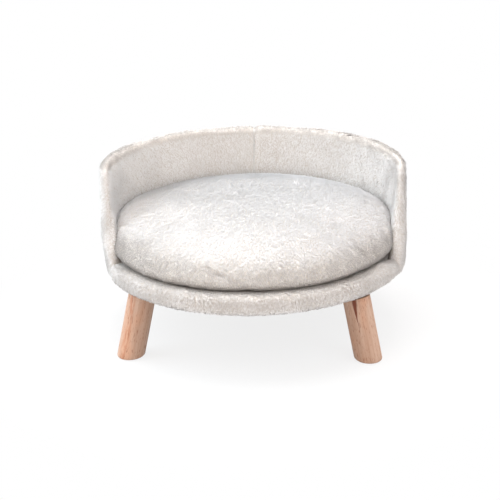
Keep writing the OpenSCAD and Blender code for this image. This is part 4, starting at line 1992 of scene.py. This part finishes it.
    def build(self) -> None:
        """Makes the covers, their pile and the filling."""
        surface = self.swollen()
        top = self.cover("cushion_top_plush", -SOFA.seam_t, 90, 110, surface)
        tufts = self.pile.grow("cushion_pile_top", top, self.top_reach, self.nap, 51, self.painted_shading)
        thicken(top, self.wall)
        settle(top, CUSHION_BODY, CUSHION_SKIN, ["cushion_cover_top"])
        low = self.cover("cushion_bottom_plush", -90, -SOFA.seam_t, 80, surface)
        thin = Pile(length=4.6 * MM, width=1.9 * MM, spacing=3.1 * MM)
        tufts += thin.grow("cushion_pile_low", low, self.low_reach, self.nap, 52)
        thicken(low, self.wall)
        settle(low, CUSHION_BODY, CUSHION_SKIN, ["cushion_cover_bottom"])
        for piece in tufts:
            settle(piece, CUSHION_BODY, CUSHION_TUFTS)
        filling = self.revolved("cushion_filling_pad", self.filling_inset)
        at, up = read(filling), read(filling, "normal")
        write(filling, at + up * self.filling_lumps.at(at)[:, None])
        settle(filling, CUSHION_BODY, WADDING, ["cushion_filling"])


@dataclass
class Zip:
    """The zip in the cushion's rear seam: two tapes and two rows of coil."""

    half: float = 32.0
    width: float = 12 * MM
    drawn_in: float = 1.6 * MM
    tape_t: float = 0.5 * MM
    cover_t: float = 2.5 * MM
    slit: float = 0.8 * MM
    coil_w: float = 2.0 * MM
    coil_h: float = 1.6 * MM
    stop: float = 0.958
    pitch: float = 1.6 * MM
    wire: float = 0.32 * MM

    def frames(self, turns: Array) -> tuple[Array, Array, Array]:
        """Gives the zip's own frame at turns about the middle.

        Args:
            turns: Degrees from +X.

        Returns:
            The seam's places, the ways out of the cushion, and the ways up it.
        """
        r, z = SOFA.cushion_point(np.array([-SOFA.seam_t]), 0)
        seam = math.radians(SOFA.seam_t)
        slope = math.tan(seam) ** (2 - 2 / SOFA.low_power)
        tilt = -math.atan(SOFA.cushion_r / SOFA.waist_up * slope)
        a = np.radians(turns)
        drawn = self.drawn_in * math.cos(seam) ** (2 / SOFA.low_power)
        base = polar(np.full(len(a), r[0] - drawn), a, z[0])
        out = polar(np.full(len(a), math.cos(tilt)), a, math.sin(tilt))
        up = polar(np.full(len(a), -math.sin(tilt)), a, math.cos(tilt))
        return base, out, up

    def tape(self, row: int) -> Array:
        """Gives the closed section grid of one tape.

        Args:
            row: -1 for the lower tape, 1 for the upper.

        Returns:
            Rows of places along the zip, each a closed section.
        """
        turns = np.linspace(90 - self.half, 90 + self.half, 90)
        base, out, up = self.frames(turns)
        near, far = self.slit / 2, self.width / 2
        across = np.concatenate([np.linspace(near, far, 7), np.linspace(far, near, 7)])
        deep = -self.cover_t + np.array([self.tape_t] * 7 + [0.0] * 7)
        outwards = out[:, None] * deep[None, :, None]
        return base[:, None] + outwards + up[:, None] * (row * across)[None, :, None]

    def coil(self, row: int) -> bpy.types.Object:
        """Makes one row of the coil as one wire wound along its tape.

        Args:
            row: -1 for the lower row, 1 for the upper.

        Returns:
            A mesh tube.
        """
        first, last = 90 - self.half + self.stop + 0.3, 90 + self.half - self.stop - 0.3
        r = float(SOFA.cushion_point(np.array([-SOFA.seam_t]), 0)[0][0])
        winds = int(math.radians(last - first) * r / self.pitch)
        steps = winds * 10 + 1
        turns = np.linspace(first, last, steps)
        base, out, up = self.frames(turns)
        a = np.linspace(0, winds * 2 * math.pi, steps) + (math.pi if row < 0 else 0)
        deep = -self.cover_t + self.tape_t + self.coil_h / 2 + (self.coil_h / 2 - self.wire) * np.sin(a)
        across = row * (self.slit / 2 + self.coil_w / 2 + (self.coil_w / 2 - self.wire) * np.cos(a))
        line = base + out * deep[:, None] + up * across[:, None]
        ahead = units(np.gradient(line, axis=0))
        side = units(np.cross(ahead, np.cross(out, up)) + 1e-6)
        other = np.cross(ahead, side)
        ring = np.radians(np.arange(5) * 72)[None, :, None]
        wire = side[:, None] * np.cos(ring) + other[:, None] * np.sin(ring)
        return bar("zip_coil_part", line[:, None] + self.wire * wire)

    def build(self) -> None:
        """Makes the tapes and the coils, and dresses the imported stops, slider and pull."""
        tapes = joined([bar("zip_tape_part", self.tape(row)) for row in (-1, 1)], "zip_tape_pair")
        settle(tapes, CUSHION_BODY, ZIP_TAPE, ["zip_tapes"])
        coils = joined([self.coil(row) for row in (-1, 1)], "zip_coil_pair")
        settle(coils, CUSHION_BODY, ZIP_NYLON, ["zip_coils"])
        for node in ("zip_stops", "zip_slider", "zip_pull"):
            WARDROBE.dress(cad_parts[node], ZIP_METAL)


@dataclass
class Leg:
    """One turned leg: a round bar, level at the floor with a softened foot, bored for its bolt."""

    spot: LegSpot
    radius: float = 18 * MM
    foot_r: float = 207 * MM
    splay: float = 15.5
    length: float = 83.94 * MM
    bore_r: float = 4.1 * MM
    bore: float = 32.1 * MM
    foot_round: float = 3.6 * MM
    top_round: float = 0.8 * MM
    sides: int = 56
    cuts: int = 18

    @property
    def turn(self) -> Matrix:
        """The leg's own frame, with its axis along Z.

        Returns:
            Matrix from it to the sofa's frame.
        """
        about = Matrix.Rotation(math.radians(self.spot.value), 4, "Z")
        out = Matrix.Translation((self.foot_r, 0, 0))
        return about @ out @ Matrix.Rotation(-math.radians(self.splay), 4, "Y")

    def build(self) -> None:
        """Models the leg and dresses it."""
        bpy.ops.object.select_all(action="DESELECT")
        under = self.radius
        bpy.ops.mesh.primitive_cylinder_add(
            vertices=self.sides,
            radius=self.radius,
            depth=self.length + under,
            location=(0, 0, (self.length - under) / 2),
        )
        leg = bpy.context.object
        leg.name = leg.data.name = f"wood_{self.spot.name.lower()}"
        bpy.ops.object.transform_apply(location=True, rotation=True, scale=True)
        bpy.ops.object.mode_set(mode="EDIT")
        self.choose(leg, lambda n, c: n.z > 0.9, faces=True)
        bpy.ops.mesh.bevel(offset=self.top_round, segments=2, affect="EDGES")
        self.choose(leg, lambda n, c: n.z > 0.95, faces=True)
        bpy.ops.mesh.inset(thickness=self.radius - self.top_round - self.bore_r)
        bpy.ops.mesh.extrude_region_move(TRANSFORM_OT_translate={"value": (0, 0, -self.bore)})
        bpy.ops.mesh.select_all(action="SELECT")
        bpy.ops.mesh.normals_make_consistent(inside=False)
        bpy.ops.object.mode_set(mode="OBJECT")
        leg.data.transform(self.turn)
        bpy.ops.object.mode_set(mode="EDIT")
        bpy.ops.mesh.select_all(action="SELECT")
        bpy.ops.mesh.bisect(plane_co=(0, 0, 0), plane_no=(0, 0, -1), use_fill=True, clear_outer=True)
        self.choose(leg, lambda n, c: n.z < -0.99, faces=True)
        bpy.ops.mesh.bevel(offset=self.foot_round, segments=5, affect="EDGES")
        self.choose(leg, lambda n, c: abs(n.z) < 0.4 and 0.02 < c.z < 0.07, faces=False)
        bpy.ops.mesh.subdivide(number_cuts=self.cuts)
        bpy.ops.mesh.select_all(action="DESELECT")
        bpy.ops.object.mode_set(mode="OBJECT")
        at, up = read(leg), read(leg, "normal")
        worn = (at[:, 2] > 10 * MM) & (at[:, 2] < SOFA.base_z - 6 * MM)
        write(leg, at + up * (Uneven(0.18 * MM, 26 * MM, self.spot.value).at(at) * worn)[:, None])
        bpy.ops.object.shade_smooth_by_angle(angle=math.radians(40))
        wood = Wood(
            f"leg_wood_{self.spot.name.lower()}",
            self.turn,
            self.spot.value % 19,
            knot=self.spot is LegSpot.FRONT_RIGHT,
            stripe=self.spot is LegSpot.FRONT_LEFT,
        )
        settle(leg, FRAME_BODY, wood, [f"leg_{self.spot.name.lower()}"])

    def choose(self, leg: bpy.types.Object, wanted: Callable[[Vector, Vector], bool], faces: bool) -> None:
        """Selects faces, or the upright edges of faces, by their normal and centre.

        Args:
            leg: The leg, in edit mode.
            wanted: Says whether a face counts.
            faces: True for whole faces, False for the long edges between two of them.
        """
        bpy.ops.mesh.select_all(action="DESELECT")
        bpy.ops.mesh.select_mode(type="FACE" if faces else "EDGE")
        built = bmesh.from_edit_mesh(leg.data)
        built.normal_update()
        for face in built.faces:
            if wanted(face.normal, face.calc_center_median()):
                if faces:
                    face.select = True
                else:
                    for edge in face.edges:
                        a, b = (v.co for v in edge.verts)
                        edge.select = edge.select or abs(a.z - b.z) > 0.03
        built.select_flush_mode()
        bmesh.update_edit_mesh(leg.data)


@dataclass
class DustCover:
    """The thin cloth stapled under the board."""

    columns: int = 144
    thick: float = 0.4 * MM
    gap: float = 0.1 * MM
    staples: int = 36
    edge_gap: float = 0.8 * MM
    edge_pull: float = 0.6 * MM
    wave: float = 0.08 * MM

    def build(self) -> None:
        """Makes the cloth, faintly pulled between its staples."""
        turn = np.linspace(0, 2 * math.pi, self.columns + 1)[None, :-1]
        share = np.concatenate([[0.0], np.linspace(0.04, 1, 44)])[:, None]
        pull = self.edge_pull * np.cos(turn * self.staples) * smooth(share, 0.9, 1.0)
        r = SOFA.dust_r * share + pull - self.edge_gap * share
        grid = polar(r, turn, SOFA.base_z + self.gap + 0 * turn)
        grid[..., 2] += self.wave * np.sin(turn * self.staples) * smooth(share, 0.6, 0.95)
        piece = grid_piece("dust_cloth_round", grid, flip=True)
        weld(piece)
        thicken(piece, self.thick)
        settle(piece, FRAME_BODY, DUST_CLOTH, ["dust_cover"])


class Hardware:
    """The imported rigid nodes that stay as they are, with better finishes."""

    FINISHES: dict[str, Finish] = {
        "base_board": PLY,
        "back_panel": PLY,
        "panel_screws": SCREW_STEEL,
        "staples": SCREW_STEEL,
        "hanger_bolts": SCREW_STEEL,
        "plate_screws": SCREW_STEEL,
        **{f"leg_plate_{spot.name.lower()}": PLATE_STEEL for spot in LegSpot},
    }

    def build(self) -> None:
        """Dresses every rigid node."""
        for node, finish in self.FINISHES.items():
            WARDROBE.dress(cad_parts[node], finish)
            LOG.info("%s: dressed as %s", node, finish.name)


@dataclass(frozen=True)
class Lamp:
    """A soft square lamp that hangs at a place and points at the sofa."""

    name: str
    place: tuple[float, float, float]
    size: float
    power: float
    colour: Colour
    aim: tuple[float, float, float] = (0.0, 0.0, 0.12)

    def hang(self) -> None:
        """Adds the lamp to the scene."""
        data = bpy.data.lights.new(self.name, "AREA")
        data.energy, data.size, data.color = self.power, self.size, self.colour
        made = bpy.data.objects.new(self.name, data)
        bpy.context.scene.collection.objects.link(made)
        made.location = self.place
        made.rotation_mode = "QUATERNION"
        made.rotation_quaternion = (Vector(self.aim) - Vector(self.place)).to_track_quat("-Z", "Y")


@dataclass
class Studio:
    """The floor, the soft lamps and the camera at the photograph's angle."""

    away: float = 1.4065
    elevation: float = 19.82
    aim_z: float = 0.1
    roll: float = 0.918
    lens: float = 72.0
    shift_x: float = -0.0086
    fill: float = 0.94
    fill_colour: Colour = (1.0, 0.875, 0.80)
    floor_r: float = 12.0
    floor_drop: float = 0.2 * MM
    floor_colour: Colour = (0.75, 0.75, 0.75)
    floor_fade: Span = (0.20, 0.42)
    lamps: tuple[Lamp, ...] = (
        Lamp("key_lamp", (-1.45, 0.1, 1.15), 1.5, 32.0, (0.77, 0.90, 1.0)),
        Lamp("top_lamp", (0, 0.2, 1.9), 1.2, 31.0, (0.96, 0.97, 1.0)),
        Lamp("side_lamp", (1.2, -0.9, 1.3), 1.2, 8.0, (0.7, 0.86, 1.0)),
    )

    def camera(self) -> None:
        """Sets the camera."""
        data = bpy.data.cameras.new("photo_camera")
        data.lens, data.sensor_width, data.shift_x = self.lens, 36.0, self.shift_x
        data.clip_start, data.clip_end = 0.05, 50
        made = bpy.data.objects.new("photo_camera", data)
        bpy.context.scene.collection.objects.link(made)
        e = math.radians(self.elevation)
        place = Vector((0, -self.away * math.cos(e), self.aim_z + self.away * math.sin(e)))
        look = (Vector((0, 0, self.aim_z)) - place).to_track_quat("-Z", "Y").to_matrix().to_4x4()
        turn = Matrix.Rotation(math.radians(-self.roll), 4, "Z")
        made.matrix_world = Matrix.Translation(place) @ look @ turn
        bpy.context.scene.camera = made

    def world(self) -> None:
        """Lights all round evenly, and shows white to the camera, to gloss and to glass."""
        world = bpy.data.worlds.new("studio_white")
        bpy.context.scene.world = world
        world.use_nodes = True
        world.node_tree.nodes.clear()
        nodes = Nodes(world.node_tree)
        soft = nodes.add("Background", {}, self.fill_colour, self.fill)
        white = nodes.add("Background", {}, (1.0, 1.0, 1.0), 1.0)
        mixed = nodes.add("MixShader", {}, nodes.plain_rays(), soft.outputs[0], white.outputs[0])
        nodes.add("OutputWorld", {}, mixed.outputs[0])

    def floor(self) -> None:
        """Makes the floor: pale, keeping the shadow near the sofa and fading to white further off."""
        bpy.ops.object.select_all(action="DESELECT")
        bpy.ops.mesh.primitive_circle_add(
            vertices=64, radius=self.floor_r, fill_type="NGON", location=(0, 0, -self.floor_drop)
        )
        floor = bpy.context.object
        floor.name = "studio_floor"
        kit = Kit("floor_pale")
        x, y, _ = kit.axes(kit.place())
        away = kit.maths("SQRT", x * x + y * y)
        kit.set(Base_Color=self.floor_colour, Roughness=0.95, Specular_IOR_Level=0.1)
        glow = kit.add("Emission", {}, (1.0, 1.0, 1.0), 1.0)
        share = (away.within(*self.floor_fade) * 0.18 + 0.82) * kit.plain_rays()
        mixed = kit.add("MixShader", {}, share, kit.shader.outputs[0], glow.outputs[0])
        out = next(n for n in kit.tree.nodes if n.type == "OUTPUT_MATERIAL")
        kit.tree.links.new(mixed.outputs[0], out.inputs[0])
        floor.data.materials.append(kit.material)

    def build(self) -> None:
        """Sets the whole studio."""
        self.camera()
        self.world()
        self.floor()
        for lamp in self.lamps:
            lamp.hang()
        bpy.context.scene.view_settings.view_transform = "Standard"


def main() -> None:
    """Builds and dresses the sofa, piece by piece."""
    logging.basicConfig(level=logging.INFO, format="%(message)s")
    noise.seed_set(SWIRL_SEED)
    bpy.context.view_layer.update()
    halves, legs = [BackHalf(side) for side in Side], [Leg(spot) for spot in LegSpot]
    soft = [*halves, Wadding(), BaseCover(), BaseFoam(), Cushion(), Zip()]
    for part in (Studio(), *soft, *legs, DustCover(), Hardware()):
        part.build()


if __name__ == "__main__":
    main()
